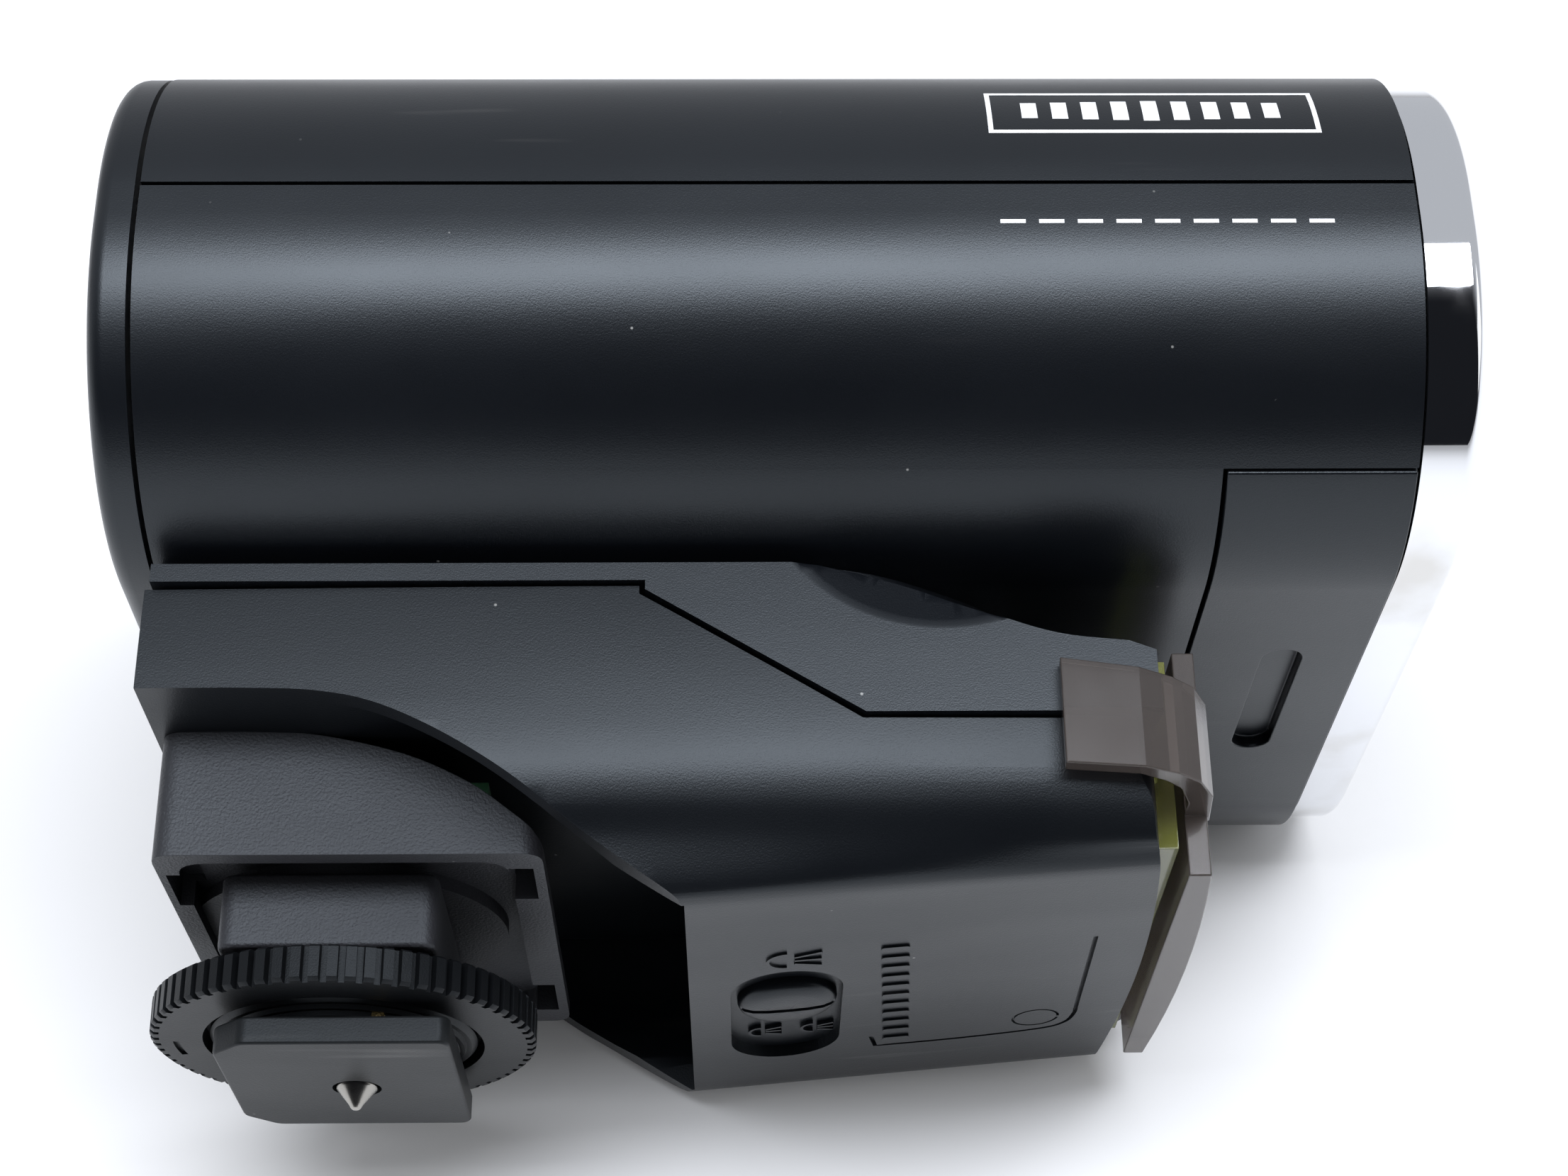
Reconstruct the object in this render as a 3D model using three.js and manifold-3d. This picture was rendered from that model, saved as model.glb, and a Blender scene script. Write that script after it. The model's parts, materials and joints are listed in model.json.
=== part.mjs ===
// Speedlight flash lying on its left side, in millimetres, +Z up.
// It is built upright (X forward, Y up, Z to its right) and then laid down.
import * as THREE from "three";
import { mergeVertices } from "three/addons/utils/BufferGeometryUtils.js";
import Module from "manifold-3d";

const wasm = await Module();
wasm.setup();

// Clearances and walls
const gap = 0.35;
const wall = 1.8;
const far = 100;

// Barrel: the wide body that runs from the rear cover to the front frame
const halfWidth = 38.2;
const barrelTop = 68.5;
const barrelFloor = 29.4;
const seamY = 50.7;
const cornerRadius = 19;
const cornerY = barrelFloor + cornerRadius;
const cornerZ = halfWidth - cornerRadius;
const rearX = -15;
const rearSeamX = -12.2;
const bodyRearX = rearSeamX + gap;
const bodyFrontX = 74.2;
const frameFrontX = 78.5;

// Test key and ready lamp on the rear cover
const keyY = 56;
const keyZ = 22;
const keyRadius = 3;
const lampZ = 14;
const lampRadius = 1.6;

// Head hinge and the parts of the head
const hingeRadius = 4;
const hingeX = bodyRearX + hingeRadius;
const hingeY = barrelTop - hingeRadius;
const pinRadius = 1;
const lugZ = 13;
const earZ = 15.6;
const lugThickness = 2;
const panelX = 61.3;
const panelRise = 6.2;
const panelHalf = 29.9;
const headBlockX = 52.5;
const headY = 49;
const frameInset = 0.7;
const frameOpening = 4.6;
const grooveX = 68;
const grooveWidth = 2.7;
const grooveLength = 16.8;
const grooveZ = 1.1;

// Lower body: base shell, its second window and the adapter notch
const baseHalf = 24.5;
const baseRearX = -12;
const baseFrontX = 57;
const baseTopY = 29;
const sideSeamY = 17.3;
const baseFloorRear = { x: 25.3, y: 5.8 };
const baseFloorFront = { x: 56.2, y: 8.4 };
const baseEdgeRadius = 5;
const baseEdgeY = 11.5;
const baseEdgeZ = 19;
const windowLow = 10.2;
const windowHigh = 21.5;
const cheekTop = 22.8;
const roofRearX = 34;
const roofRearY = 28.8;
const coreFrontX = 48;
const coreHalf = 17;
const sensorY = 26.2;
const windowHalf = 22;
const windowCurve = 104;
const flash2Y = 15.8;

// Adapter and foot
const adapterRearX = -11.5;
const adapterFrontX = 15;
const adapterFloor = 10.6;
const adapterTop = 19.9;
const adapterHalf = 17.2;
const notchHalf = 22.2;
const notchFrontX = 27;
const ringRadius = 13.7;
const ringFlutes = 68;
const ringLow = 3.05;
const ringHigh = 5.65;
const stemRadius = 6.2;
const plateHalf = 9.3;
const plateRearX = -8.05;
const plateFrontX = 8.45;
const plateHigh = 2;
const contactX = 1;
const contactZ = -0.7;
const contactRadius = 1.5;
const contactTip = -1.6;

// Batteries and what stands above them
const cellRadius = 7.2;
const cellPitch = 14.8;
const cellRearX = -7.5;
const cellLength = 49.2;
const cellY = 39.5;
const deckY = 47.4;
const deckThickness = 1.5;
const boardY = 51.6;
const boardThickness = 1.4;

// Selector knob on the tilted floor of the base
const floorTilt = Math.atan2(baseFloorFront.y - baseFloorRear.y, baseFloorFront.x - baseFloorRear.x);
const knobX = 31.8;
const knobZ = -1.6;
const knobRadius = 3.7;

// Clip arms of the filter that hangs in front of the second window
const clipInner = baseHalf + gap;
const clipOuter = clipInner + 1.3;
const clipLow = 13.3;
const clipHigh = 21.3;
const filterRear = 1.25;
const filterThickness = 1.7;
const filterLow = 9.5;
const filterHigh = 22.3;

// The laid-down flash rests on a barrel corner and on the lower edge of one clip arm.
const spanY = cornerY - clipLow;
const spanZ = clipOuter - cornerZ;
const restTilt = Math.asin(cornerRadius / Math.hypot(spanY, spanZ)) - Math.atan2(spanZ, spanY);

// ---------- solids ----------

function solidOf(geometry) {
  const bare = geometry.index ? geometry.toNonIndexed() : geometry.clone();
  bare.deleteAttribute("normal");
  bare.deleteAttribute("uv");
  const merged = mergeVertices(bare, 1e-4);
  const mesh = new wasm.Mesh({
    numProp: 3,
    vertProperties: new Float32Array(merged.attributes.position.array),
    triVerts: new Uint32Array(merged.index.array),
  });
  return new wasm.Manifold(mesh);
}

function geometryOf(solid) {
  const mesh = solid.getMesh();
  const geometry = new THREE.BufferGeometry();
  geometry.setAttribute("position", new THREE.BufferAttribute(mesh.vertProperties, 3));
  geometry.setIndex(new THREE.BufferAttribute(mesh.triVerts, 1));
  geometry.computeVertexNormals();
  return geometry;
}

function join(first, ...others) {
  return geometryOf(others.reduce((sum, part) => sum.add(solidOf(part)), solidOf(first)));
}

function cut(first, ...tools) {
  return geometryOf(tools.reduce((rest, tool) => rest.subtract(solidOf(tool)), solidOf(first)));
}

function common(first, ...others) {
  return geometryOf(others.reduce((rest, part) => rest.intersect(solidOf(part)), solidOf(first)));
}

function box(x0, x1, y0, y1, z0, z1) {
  const geometry = new THREE.BoxGeometry(x1 - x0, y1 - y0, z1 - z0);
  return geometry.translate((x0 + x1) / 2, (y0 + y1) / 2, (z0 + z1) / 2);
}

function extrude(shape, depth) {
  return new THREE.ExtrudeGeometry(shape, { depth, bevelEnabled: false, curveSegments: 8 });
}

// Extrudes a section drawn in (z, y) from x0 to x1.
function alongX(shape, x0, x1) {
  return extrude(shape, x1 - x0).rotateY(-Math.PI / 2).translate(x1, 0, 0);
}

// Extrudes a plan drawn in (x, z) from y0 to y1.
function alongY(shape, y0, y1) {
  return extrude(shape, y1 - y0).rotateX(Math.PI / 2).translate(0, y1, 0);
}

// Extrudes a side view drawn in (x, y) from z0 to z1.
function alongZ(shape, z0, z1) {
  return extrude(shape, z1 - z0).translate(0, 0, z0);
}

function polygon(...points) {
  return new THREE.Shape(points.map(([a, b]) => new THREE.Vector2(a, b)));
}

function rodX(radius, x0, x1, y, z, segments = 24) {
  const rod = new THREE.CylinderGeometry(radius, radius, x1 - x0, segments);
  return rod.rotateZ(Math.PI / 2).translate((x0 + x1) / 2, y, z);
}

function rodY(radius, y0, y1, x, z, segments = 24) {
  return new THREE.CylinderGeometry(radius, radius, y1 - y0, segments).translate(x, (y0 + y1) / 2, z);
}

function rodZ(radius, z0, z1, x, y, segments = 24) {
  const rod = new THREE.CylinderGeometry(radius, radius, z1 - z0, segments);
  return rod.rotateX(Math.PI / 2).translate(x, y, (z0 + z1) / 2);
}

// A four-sided funnel between two rectangles, [halfY, halfZ] at x0 and at x1.
function funnel(x0, small, x1, large, y) {
  const cone = new THREE.CylinderGeometry(1, 1, x1 - x0, 4, 1).rotateY(Math.PI / 4);
  cone.rotateZ(-Math.PI / 2);
  const points = cone.attributes.position;
  for (let i = 0; i < points.count; i += 1) {
    const [halfY, halfZ] = points.getX(i) > 0 ? large : small;
    const x = points.getX(i) + (x0 + x1) / 2;
    points.setXYZ(i, x, y + Math.sign(points.getY(i)) * halfY, Math.sign(points.getZ(i)) * halfZ);
  }
  return cone;
}

// ---------- sections ----------

function upperSection(inset, base) {
  const radius = barrelTop - inset - base;
  const centre = halfWidth - inset - radius;
  const shape = new THREE.Shape();
  shape.moveTo(-halfWidth + inset, base);
  shape.absarc(-centre, base, radius, Math.PI, Math.PI / 2, true);
  shape.absarc(centre, base, radius, Math.PI / 2, 0, true);
  return shape;
}

function lowerSection(inset, top) {
  const radius = cornerRadius - inset;
  const shape = new THREE.Shape();
  shape.moveTo(halfWidth - inset, top);
  shape.lineTo(inset - halfWidth, top);
  shape.absarc(-cornerZ, cornerY, radius, Math.PI, 1.5 * Math.PI, false);
  shape.absarc(cornerZ, cornerY, radius, 1.5 * Math.PI, 2 * Math.PI, false);
  return shape;
}

function fullSection(inset) {
  const radius = barrelTop - seamY - inset;
  const centre = halfWidth - inset - radius;
  const shape = new THREE.Shape();
  shape.absarc(-cornerZ, cornerY, cornerRadius - inset, Math.PI, 1.5 * Math.PI, false);
  shape.absarc(cornerZ, cornerY, cornerRadius - inset, 1.5 * Math.PI, 2 * Math.PI, false);
  shape.absarc(centre, seamY, radius, 0, Math.PI / 2, false);
  shape.absarc(-centre, seamY, radius, Math.PI / 2, Math.PI, false);
  return shape;
}

// The base's cross-section, narrowing to its lower edges.
function baseSection(inset, top) {
  const radius = baseEdgeRadius - inset;
  const half = baseHalf - inset;
  const shape = new THREE.Shape();
  shape.moveTo(half, top);
  shape.lineTo(-half, top);
  shape.absarc(-baseEdgeZ, baseEdgeY, radius, Math.PI, 1.5 * Math.PI, false);
  shape.absarc(baseEdgeZ, baseEdgeY, radius, 1.5 * Math.PI, 2 * Math.PI, false);
  return shape;
}

// ---------- materials ----------

function material(colour, roughness, metalness = 0) {
  return new THREE.MeshStandardMaterial({ color: colour, roughness, metalness });
}

const housingPlastic = material(0x1b1d21, 0.5);
const adapterPlastic = material(0x212124, 0.7);
const chrome = material(0xd8dadc, 0.08, 1);
const blackMetal = material(0x111213, 0.4, 0.6);
const clearPlastic = material(0xdfe6e2, 0.1);
const greenPlastic = material(0xc8d49a, 0.15);
const smokePlastic = material(0x5a544c, 0.2);
const reflectorMetal = material(0xc9ccd0, 0.2, 1);
const glass = material(0xf2f4f4, 0.05);
const brass = material(0xc6a25a, 0.3, 1);
const steel = material(0x9a9da1, 0.35, 1);
const boardGreen = material(0x2d5a3a, 0.6);
const cellSleeve = material(0x2f5f8a, 0.4);
const capacitorSleeve = material(0x20242b, 0.4);
const controlGrey = material(0x6d7074, 0.5);
const lampAmber = material(0xc46a2a, 0.2);

const upright = new THREE.Group();

function add(name, geometry, look) {
  const mesh = new THREE.Mesh(geometry, look);
  mesh.name = name;
  upright.add(mesh);
  return mesh;
}

// ---------- shells ----------

function barrelTray() {
  const top = seamY - gap / 2;
  return cut(
    alongX(lowerSection(0, top), bodyRearX, bodyFrontX),
    alongX(lowerSection(wall, top + 1), bodyRearX - 1, bodyFrontX + 1),
  );
}

const doorTop = 47;
const doorLow = 36.4;
const doorRearX = -8.5;
const doorThickness = 1.5;

function doorRegion(grow) {
  const low = doorLow - grow;
  return box(doorRearX - grow, far, low, doorTop + grow, -far, -cornerZ);
}

// The cheeks beside the second flash, above the base's side seam, falling away forwards from the barrel.
function cheeks() {
  const low = sideSeamY + gap;
  const profile = polygon([22, barrelFloor + 1], [22, 26.9], [36.8, low], [baseFrontX, low]);
  addRoof(profile, 0);
  profile.lineTo(roofRearX, barrelFloor + 1);
  return alongZ(profile, -baseHalf, baseHalf);
}

function cheekCavity() {
  const profile = polygon([roofRearX, 0], [baseFrontX - wall, 0]);
  addRoof(profile, wall);
  const slot = alongZ(profile, wall - baseHalf, baseHalf - wall);
  return join(slot, box(22 - wall, roofRearX + 1, 0, roofRearY - wall, wall - baseHalf, baseHalf - wall));
}

function addRoof(profile, inset) {
  profile.lineTo(baseFrontX - inset, cheekTop - inset);
  profile.lineTo(50 - inset, cheekTop - inset);
  profile.quadraticCurveTo(43 - inset, roofRearY - inset, roofRearX, roofRearY - inset);
}

function neck() {
  const core = box(22, coreFrontX, cheekTop - wall - 1, barrelFloor + 1, -coreHalf, coreHalf);
  const coreCavity = box(26, coreFrontX - wall, 0, far, wall - coreHalf, coreHalf - wall);
  return cut(
    join(cheeks(), core),
    cheekCavity(),
    coreCavity,
    box(baseFrontX - wall - 1, far, 0, windowHigh + gap, -windowHalf - gap, windowHalf + gap),
    rodX(2.2 + gap, coreFrontX - 4, far, sensorY, 0),
  );
}

function mainHousing() {
  return cut(
    join(barrelTray(), neck()),
    box(panelX - gap, far, 0, barrelFloor + panelRise, -panelHalf - gap, panelHalf + gap),
    box(26, coreFrontX - wall, 20, barrelFloor + wall + 1, wall - coreHalf, coreHalf - wall),
    doorRegion(gap),
  );
}

// The lower body's side view, with its sloping rear edge above the adapter.
function baseProfile(inset) {
  const raise = inset ? 3 : 0;
  return polygon(
    [baseRearX + inset, baseTopY + raise],
    [baseRearX + inset, 20 + inset],
    [1.5, 19.6 + inset],
    [6, 17.4 + 1.5 * inset],
    [baseFloorRear.x + inset / 2, baseFloorRear.y + inset],
    [baseFloorFront.x - inset, baseFloorFront.y + inset],
    [baseFrontX - inset, windowLow],
    [baseFrontX - inset, sideSeamY + raise],
    [36.7, sideSeamY + raise],
    [21.6, 26.5 + raise],
    [21.6, baseTopY + raise],
  );
}

const shellTop = barrelFloor - gap;

function lowerShell() {
  const outer = common(
    alongZ(baseProfile(0), -baseHalf, baseHalf),
    alongX(baseSection(0, shellTop), baseRearX - 1, baseFrontX + 1),
  );
  const cavity = common(
    alongZ(baseProfile(wall), wall - baseHalf, baseHalf - wall),
    alongX(baseSection(wall, shellTop + 2), baseRearX, baseFrontX),
  );
  const notchTop = adapterTop + gap;
  const notchRoof = box(baseRearX, notchFrontX + wall, 0, notchTop + wall, -baseHalf, baseHalf);
  const notchLow = baseFloorRear.y + 2.2;
  return cut(
    outer,
    cut(cavity, notchRoof),
    box(baseRearX - 1, baseFloorRear.x, 0, notchTop, -notchHalf, notchHalf),
    box(baseRearX - 1, notchFrontX, notchLow, notchTop, -notchHalf, notchHalf),
    box(baseFrontX - wall - 1, far, windowLow - gap, far, -windowHalf - gap, windowHalf + gap),
    onFloor(rodY(knobRadius + gap, -1, 0.9, 0, 0)),
    onFloor(rodY(1.5 + gap, -1, 6, 0, 0)),
  );
}

// Places geometry drawn around the knob's axis on the tilted floor, y pointing inwards.
function onFloor(geometry) {
  const y = baseFloorRear.y + (knobX - baseFloorRear.x) * Math.tan(floorTilt);
  return geometry.rotateZ(floorTilt).translate(knobX, y, knobZ);
}

function rearCover() {
  const plate = alongX(fullSection(0), rearX + 1.2, rearSeamX);
  const face = alongX(fullSection(1), rearX, rearX + 1.3);
  return cut(
    join(plate, face),
    rodX(keyRadius + gap, rearX - 1, rearSeamX + 1, keyY, keyZ),
    rodX(lampRadius + gap, rearX - 1, rearSeamX + 1, keyY, lampZ),
    box(rearX - 1, rearSeamX + 1, 55.5, 60.5, -26, -14),
    box(rearX - 1, rearSeamX + 1, 55.5, 60.5, -8, 8),
    box(rearX - 1, rearX + 0.6, 36, 50, -24, 24),
  );
}

function topCover() {
  const base = seamY + gap / 2;
  const shell = cut(
    alongX(upperSection(0, base), bodyRearX, bodyFrontX),
    alongX(upperSection(wall, base - 1), bodyRearX - 1, bodyFrontX + 1),
  );
  const side = new THREE.Shape();
  side.moveTo(bodyRearX + 1.4, base - 1);
  side.lineTo(far, base - 1);
  side.lineTo(far, barrelTop + 1);
  side.lineTo(hingeX, barrelTop + 1);
  side.lineTo(hingeX, barrelTop);
  side.absarc(hingeX, hingeY, hingeRadius, Math.PI / 2, Math.PI, false);
  side.lineTo(bodyRearX, base + 1.2);
  const ears = [-earZ, earZ].map((z) => alongZ(
    polygon(
      [hingeX - 2, hingeY - 2],
      [hingeX + 2, hingeY - 2],
      [hingeX + 4, barrelTop - 1],
      [hingeX - 2, barrelTop - 1],
    ),
    z - lugThickness / 2,
    z + lugThickness / 2,
  ));
  const shaped = common(join(shell, ...ears), alongZ(side, -far, far));
  const pinHole = earZ + lugThickness;
  return cut(shaped, rodZ(pinRadius + 0.3, -pinHole, pinHole, hingeX, hingeY));
}

// ---------- fixed shells and their inner parts ----------

function addBody() {
  add("main_housing", mainHousing(), housingPlastic);
  add("lower_shell", lowerShell(), housingPlastic);
  add("rear_cover", rearCover(), housingPlastic);
  add("info_plate", box(rearX + 0.15, rearX + 0.35, 36.4, 49.6, -23.6, 23.6), controlGrey);
  add("ready_lamp", rodX(lampRadius, rearX - 0.3, rearSeamX, keyY, lampZ), lampAmber);
  add("inner_deck", innerDeck(), adapterPlastic);
  screwPlaces.forEach(([x, z], i) => add(`deck_screw_${i + 1}`, deckScrew(x, z), steel));
}

const screwPlaces = [
  [-8, 31],
  [-8, -31],
  [45, 31],
  [45, -31],
];

function deckScrew(x, z) {
  const seat = deckY + deckThickness;
  const head = rodY(2.1, seat + gap, seat + gap + 1, x, z, 16);
  return join(head, rodY(0.9, deckY - 3, seat + gap + 0.1, x, z, 12));
}

function innerDeck() {
  const deck = alongX(deckShape(), bodyRearX + 1.5, 49);
  const partition = box(47.2, 49, 34, deckY + 0.5, -24, 24);
  const holes = screwPlaces.map(([x, z]) => rodY(0.9 + gap, 0, far, x, z, 12));
  return cut(join(deck, partition), ...holes);
}

function deckShape() {
  const half = halfWidth - wall - gap;
  const top = deckY + deckThickness;
  return polygon([-half, deckY], [half, deckY], [half, top], [-half, top]);
}

function hingeBracket() {
  const low = deckY + deckThickness + gap;
  const foot = box(hingeX - 2, hingeX + 4, low, low + 1, -lugZ - 1, lugZ + 1);
  const posts = [-lugZ, lugZ].map((z) => join(
    box(hingeX - 2, hingeX + 2, low, hingeY, z - lugThickness / 2, z + lugThickness / 2),
    rodZ(2, z - lugThickness / 2, z + lugThickness / 2, hingeX, hingeY),
  ));
  return cut(join(foot, ...posts), rodZ(pinRadius + 0.3, -far, far, hingeX, hingeY));
}

function addHinge() {
  add("hinge_bracket", hingeBracket(), steel);
  const pinHalf = earZ + lugThickness / 2 + 0.4;
  add("hinge_pin", rodZ(pinRadius, -pinHalf, pinHalf, hingeX, hingeY), steel);
}

function addElectronics() {
  add("circuit_board", box(2, 47, boardY, boardY + boardThickness, -30, 30), boardGreen);
  const top = boardY + boardThickness + gap;
  add("transformer", box(28, 42, top, top + 7, 6, 22), blackMetal);
  add("trigger_coil", rodZ(3, -20, -6, 36, top + 3), brass);
  add("main_capacitor", rodZ(6.5, -20, 20, 36.5, 17.5, 28), capacitorSleeve);
}

function addBatteries() {
  for (let i = 0; i < 4; i += 1) {
    const z = (i - 1.5) * cellPitch;
    const flip = i % 2;
    const can = rodX(cellRadius, cellRearX, cellRearX + cellLength, cellY, z, 20);
    const nubX = flip ? cellRearX - 1 : cellRearX + cellLength - 0.1;
    const nub = rodX(2.7, nubX, nubX + 1.1, cellY, z, 12);
    add(`battery_${i + 1}`, join(can, nub), cellSleeve);
  }
  const low = cellY - 5;
  const high = cellY + 5;
  add("battery_contact_front", box(44, 44.6, low, high, -29, 29), steel);
  add("battery_contact_rear", box(-9.9, -9.3, low, high, -29, 29), steel);
}

// ---------- second flash in the lower body ----------

// A band that follows the curved front, between two offsets in front of the window's rear face.
function frontBand(rear, thickness, half) {
  const shape = new THREE.Shape();
  const reach = Math.asin(half / windowCurve);
  const centreX = baseFrontX + 1.8 - windowCurve;
  const outer = windowCurve + rear + thickness;
  shape.absarc(centreX, 0, outer, -reach, reach, false);
  shape.absarc(centreX, 0, windowCurve + rear, reach, -reach, true);
  return shape;
}

function addSecondFlash() {
  const bowl = cut(
    funnel(46.2, [2.4, 17.5], 54, [4.8, 20], flash2Y),
    funnel(47, [1.8, 17], 54.1, [4.2, 19.4], flash2Y),
  );
  add("second_reflector", bowl, reflectorMetal);
  add("second_flash_tube", rodZ(1.2, -16, 16, 49.6, flash2Y, 14), glass);
  const pane = alongY(frontBand(-1.9, 1.9, windowHalf - 0.5), windowLow, windowHigh);
  add("second_window", pane, greenPlastic);
  add("sensor_window", rodX(2.2, coreFrontX - 1.5, coreFrontX, sensorY, 0, 20), clearPlastic);
}

function attenuatorFilter() {
  const plate = alongY(frontBand(filterRear, filterThickness, windowHalf), filterLow, filterHigh);
  const arms = [-1, 1].map((side) => alongY(
    polygon(
      [49.6, side * clipInner],
      [58, side * clipInner],
      [57.4, side * (windowHalf - 1)],
      [59.4, side * (windowHalf - 1)],
      [59.9, side * (clipOuter - 1)],
      [59, side * clipOuter],
      [49.6, side * clipOuter],
    ),
    clipLow,
    clipHigh,
  ));
  const clearance = alongY(frontBand(-4, 4 + filterRear, windowHalf + 1), 0, far);
  return join(plate, ...arms.map((arm) => cut(arm, clearance)));
}

// ---------- adapter and foot ----------

// The adapter's side view: its top falls off forwards under the base's sloping edge.
function adapterProfile(inset, raise) {
  const low = adapterFloor + (inset ? 2.6 : 0);
  return polygon(
    [adapterRearX + inset, adapterTop + raise],
    [adapterRearX + inset, low],
    [adapterFrontX - inset, low],
    [adapterFrontX - inset, 12 + raise],
    [13 - inset, 14.8 + raise],
    [5.5, 18.4 + raise],
    [0, adapterTop + raise],
  );
}

function adapterHousing() {
  const shell = cut(
    alongZ(adapterProfile(0, 0), -adapterHalf, adapterHalf),
    alongZ(adapterProfile(1.6, 5), 1.6 - adapterHalf, adapterHalf - 1.6),
    box(adapterRearX + 3, adapterFrontX - 3, 0, 11.8, 3 - adapterHalf, adapterHalf - 3),
    rodY(7, 0, far, 0, 0),
  );
  const slots = [
    [-10.3, 10.8],
    [-10.3, -10.8],
    [13.6, 11.7],
    [13.6, -11.7],
  ].map(([x, z]) => box(x - 0.85, x + 0.85, 0, 12.4, z - 2.9, z + 2.9));
  return cut(shell, ...slots);
}

function shoeFoot() {
  const corner = 1.6;
  const plate = alongY(
    polygon(
      [plateRearX, -plateHalf + corner],
      [plateRearX + corner, -plateHalf],
      [plateFrontX - 0.6, -plateHalf],
      [plateFrontX, -plateHalf + 0.6],
      [plateFrontX, plateHalf - 0.6],
      [plateFrontX - 0.6, plateHalf],
      [plateRearX + corner, plateHalf],
      [plateRearX, plateHalf - corner],
    ),
    0,
    plateHigh,
  );
  return cut(
    join(plate, rodY(stemRadius, plateHigh - 0.1, 15, 0, 0)),
    rodY(1.3, -1, far, contactX, contactZ, 16),
    rodY(contactRadius + gap, -1, 1.4, contactX, contactZ, 24),
  );
}

function lockingRing() {
  const disc = new THREE.Shape();
  const step = (2 * Math.PI) / ringFlutes;
  const tooth = [
    [0, 0],
    [0.62, 0],
    [0.62, 0.7],
    [1, 0.7],
  ];
  for (let i = 0; i < ringFlutes; i += 1) {
    for (const [part, depth] of tooth) {
      const radius = ringRadius - depth;
      const angle = (i + part) * step;
      const point = [radius * Math.cos(angle), radius * Math.sin(angle)];
      if (i === 0 && part === 0) {
        disc.moveTo(...point);
      } else {
        disc.lineTo(...point);
      }
    }
  }
  return cut(
    alongY(disc, ringLow, ringHigh),
    rodY(stemRadius + gap, 0, far, 0, 0),
    rodY(10, 0, ringLow + 1.3, 0, 0),
  );
}

function contactCone() {
  const height = 0.3 - contactTip;
  const cone = new THREE.CylinderGeometry(contactRadius, 0.3, height, 24);
  return cone.translate(contactX, contactTip + height / 2, contactZ);
}

function addFoot() {
  add("adapter_housing", adapterHousing(), adapterPlastic);
  add("adapter_board", cut(box(-9.3, 11, 15.6, 16.8, -15, 15), rodY(9.6, 0, far, 0, 0)), boardGreen);
  const block = box(-7.5, 7.5, ringHigh + gap, adapterFloor + 0.8, -12, 12);
  add("foot_block", cut(block, rodY(stemRadius + gap, 0, far, 0, 0)), adapterPlastic);
  add("shoe_foot", shoeFoot(), blackMetal);
  add("foot_nut", cut(rodY(9, 13.5, 15.2, 0, 0, 6), rodY(stemRadius + gap, 0, far, 0, 0)), steel);
  add("locking_ring", lockingRing(), blackMetal);
  const washer = cut(rodY(9.5, ringLow + 0.1, ringLow + 0.9, 0, 0), rodY(stemRadius + 0.4, 0, far, 0, 0));
  add("clamp_washer", washer, steel);
  add("ground_contact", rodY(0.6, plateHigh + gap, ringLow - gap + 0.2, 3.2, 7.2, 12), brass);
  add("centre_contact", join(rodY(0.95, 0.1, 12, contactX, contactZ, 12), contactCone()), brass);
}

// ---------- controls ----------

function addControls() {
  const cap = join(rodY(knobRadius, 0.2, -1.2 + 2, 0, 0), rodY(1.5, 0.5, 4, 0, 0, 16));
  const bar = box(-0.8, 0.8, -0.8, 0.3, -knobRadius + 0.3, knobRadius - 0.3);
  add("selector_knob", onFloor(join(cap, bar)), housingPlastic);
  add("attenuator_filter", attenuatorFilter(), smokePlastic);
  const key = rodX(keyRadius, rearX - 1, rearSeamX + 0.6, keyY, keyZ);
  const collar = rodX(keyRadius + 0.8, rearSeamX + 0.4, rearSeamX + 1, keyY, keyZ);
  add("test_button", join(key, collar), controlGrey);
  add("main_switch", box(rearX - 1.2, rearSeamX, 55.9, 60.1, -25.6, -20), controlGrey);
  add("mode_switch", box(rearX - 1.2, rearSeamX, 55.9, 60.1, -7.6, -2), controlGrey);
  const skin = cut(
    alongX(lowerSection(0, seamY), doorRearX, bodyFrontX),
    alongX(lowerSection(doorThickness, seamY + 1), doorRearX - 1, bodyFrontX + 1),
  );
  add("battery_door", common(skin, doorRegion(0)), housingPlastic);
}

// ---------- head ----------

function frontPanel() {
  const region = box(panelX, bodyFrontX, 0, barrelFloor + panelRise, -panelHalf, panelHalf);
  const groove = box(
    grooveX - grooveWidth / 2,
    grooveX + grooveWidth / 2,
    0,
    barrelFloor + 0.9,
    grooveZ - grooveLength / 2,
    grooveZ + grooveLength / 2,
  );
  return cut(common(barrelTray(), region), groove);
}

// The battery door leaves forwards through a shallow notch in the frame's left side.
function doorPath() {
  const skin = cut(alongX(fullSection(0), 0, far), alongX(fullSection(doorThickness + gap), -1, far + 1));
  return common(doorRegion(gap), skin);
}

function addHead() {
  add("top_cover", topCover(), housingPlastic);
  add("front_panel", frontPanel(), housingPlastic);
  const frameRear = bodyFrontX + gap;
  const frame = cut(
    alongX(fullSection(frameInset), frameRear, frameFrontX),
    alongX(fullSection(frameOpening), 0, far),
    doorPath(),
  );
  add("front_frame", frame, chrome);
  const lens = alongX(fullSection(frameOpening + gap), frameRear + 0.5, frameFrontX - 1.2);
  add("front_lens", lens, clearPlastic);
  const blockInset = wall + 0.6;
  const block = cut(
    alongX(fullSection(blockInset), headBlockX, bodyFrontX),
    alongX(fullSection(blockInset + 1.4), headBlockX + 1.4, far),
  );
  add("reflector_housing", block, adapterPlastic);
  const bowl = cut(
    funnel(56, [5, 24], 74, [13, 27.5], headY),
    funnel(57, [4.2, 23.2], 74.1, [12.3, 26.8], headY),
  );
  add("main_reflector", bowl, reflectorMetal);
  add("main_flash_tube", rodZ(2, -22, 22, 60.5, headY, 16), glass);
}

addBody();
addHinge();
addElectronics();
addBatteries();
addSecondFlash();
addFoot();
addControls();
addHead();

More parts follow.
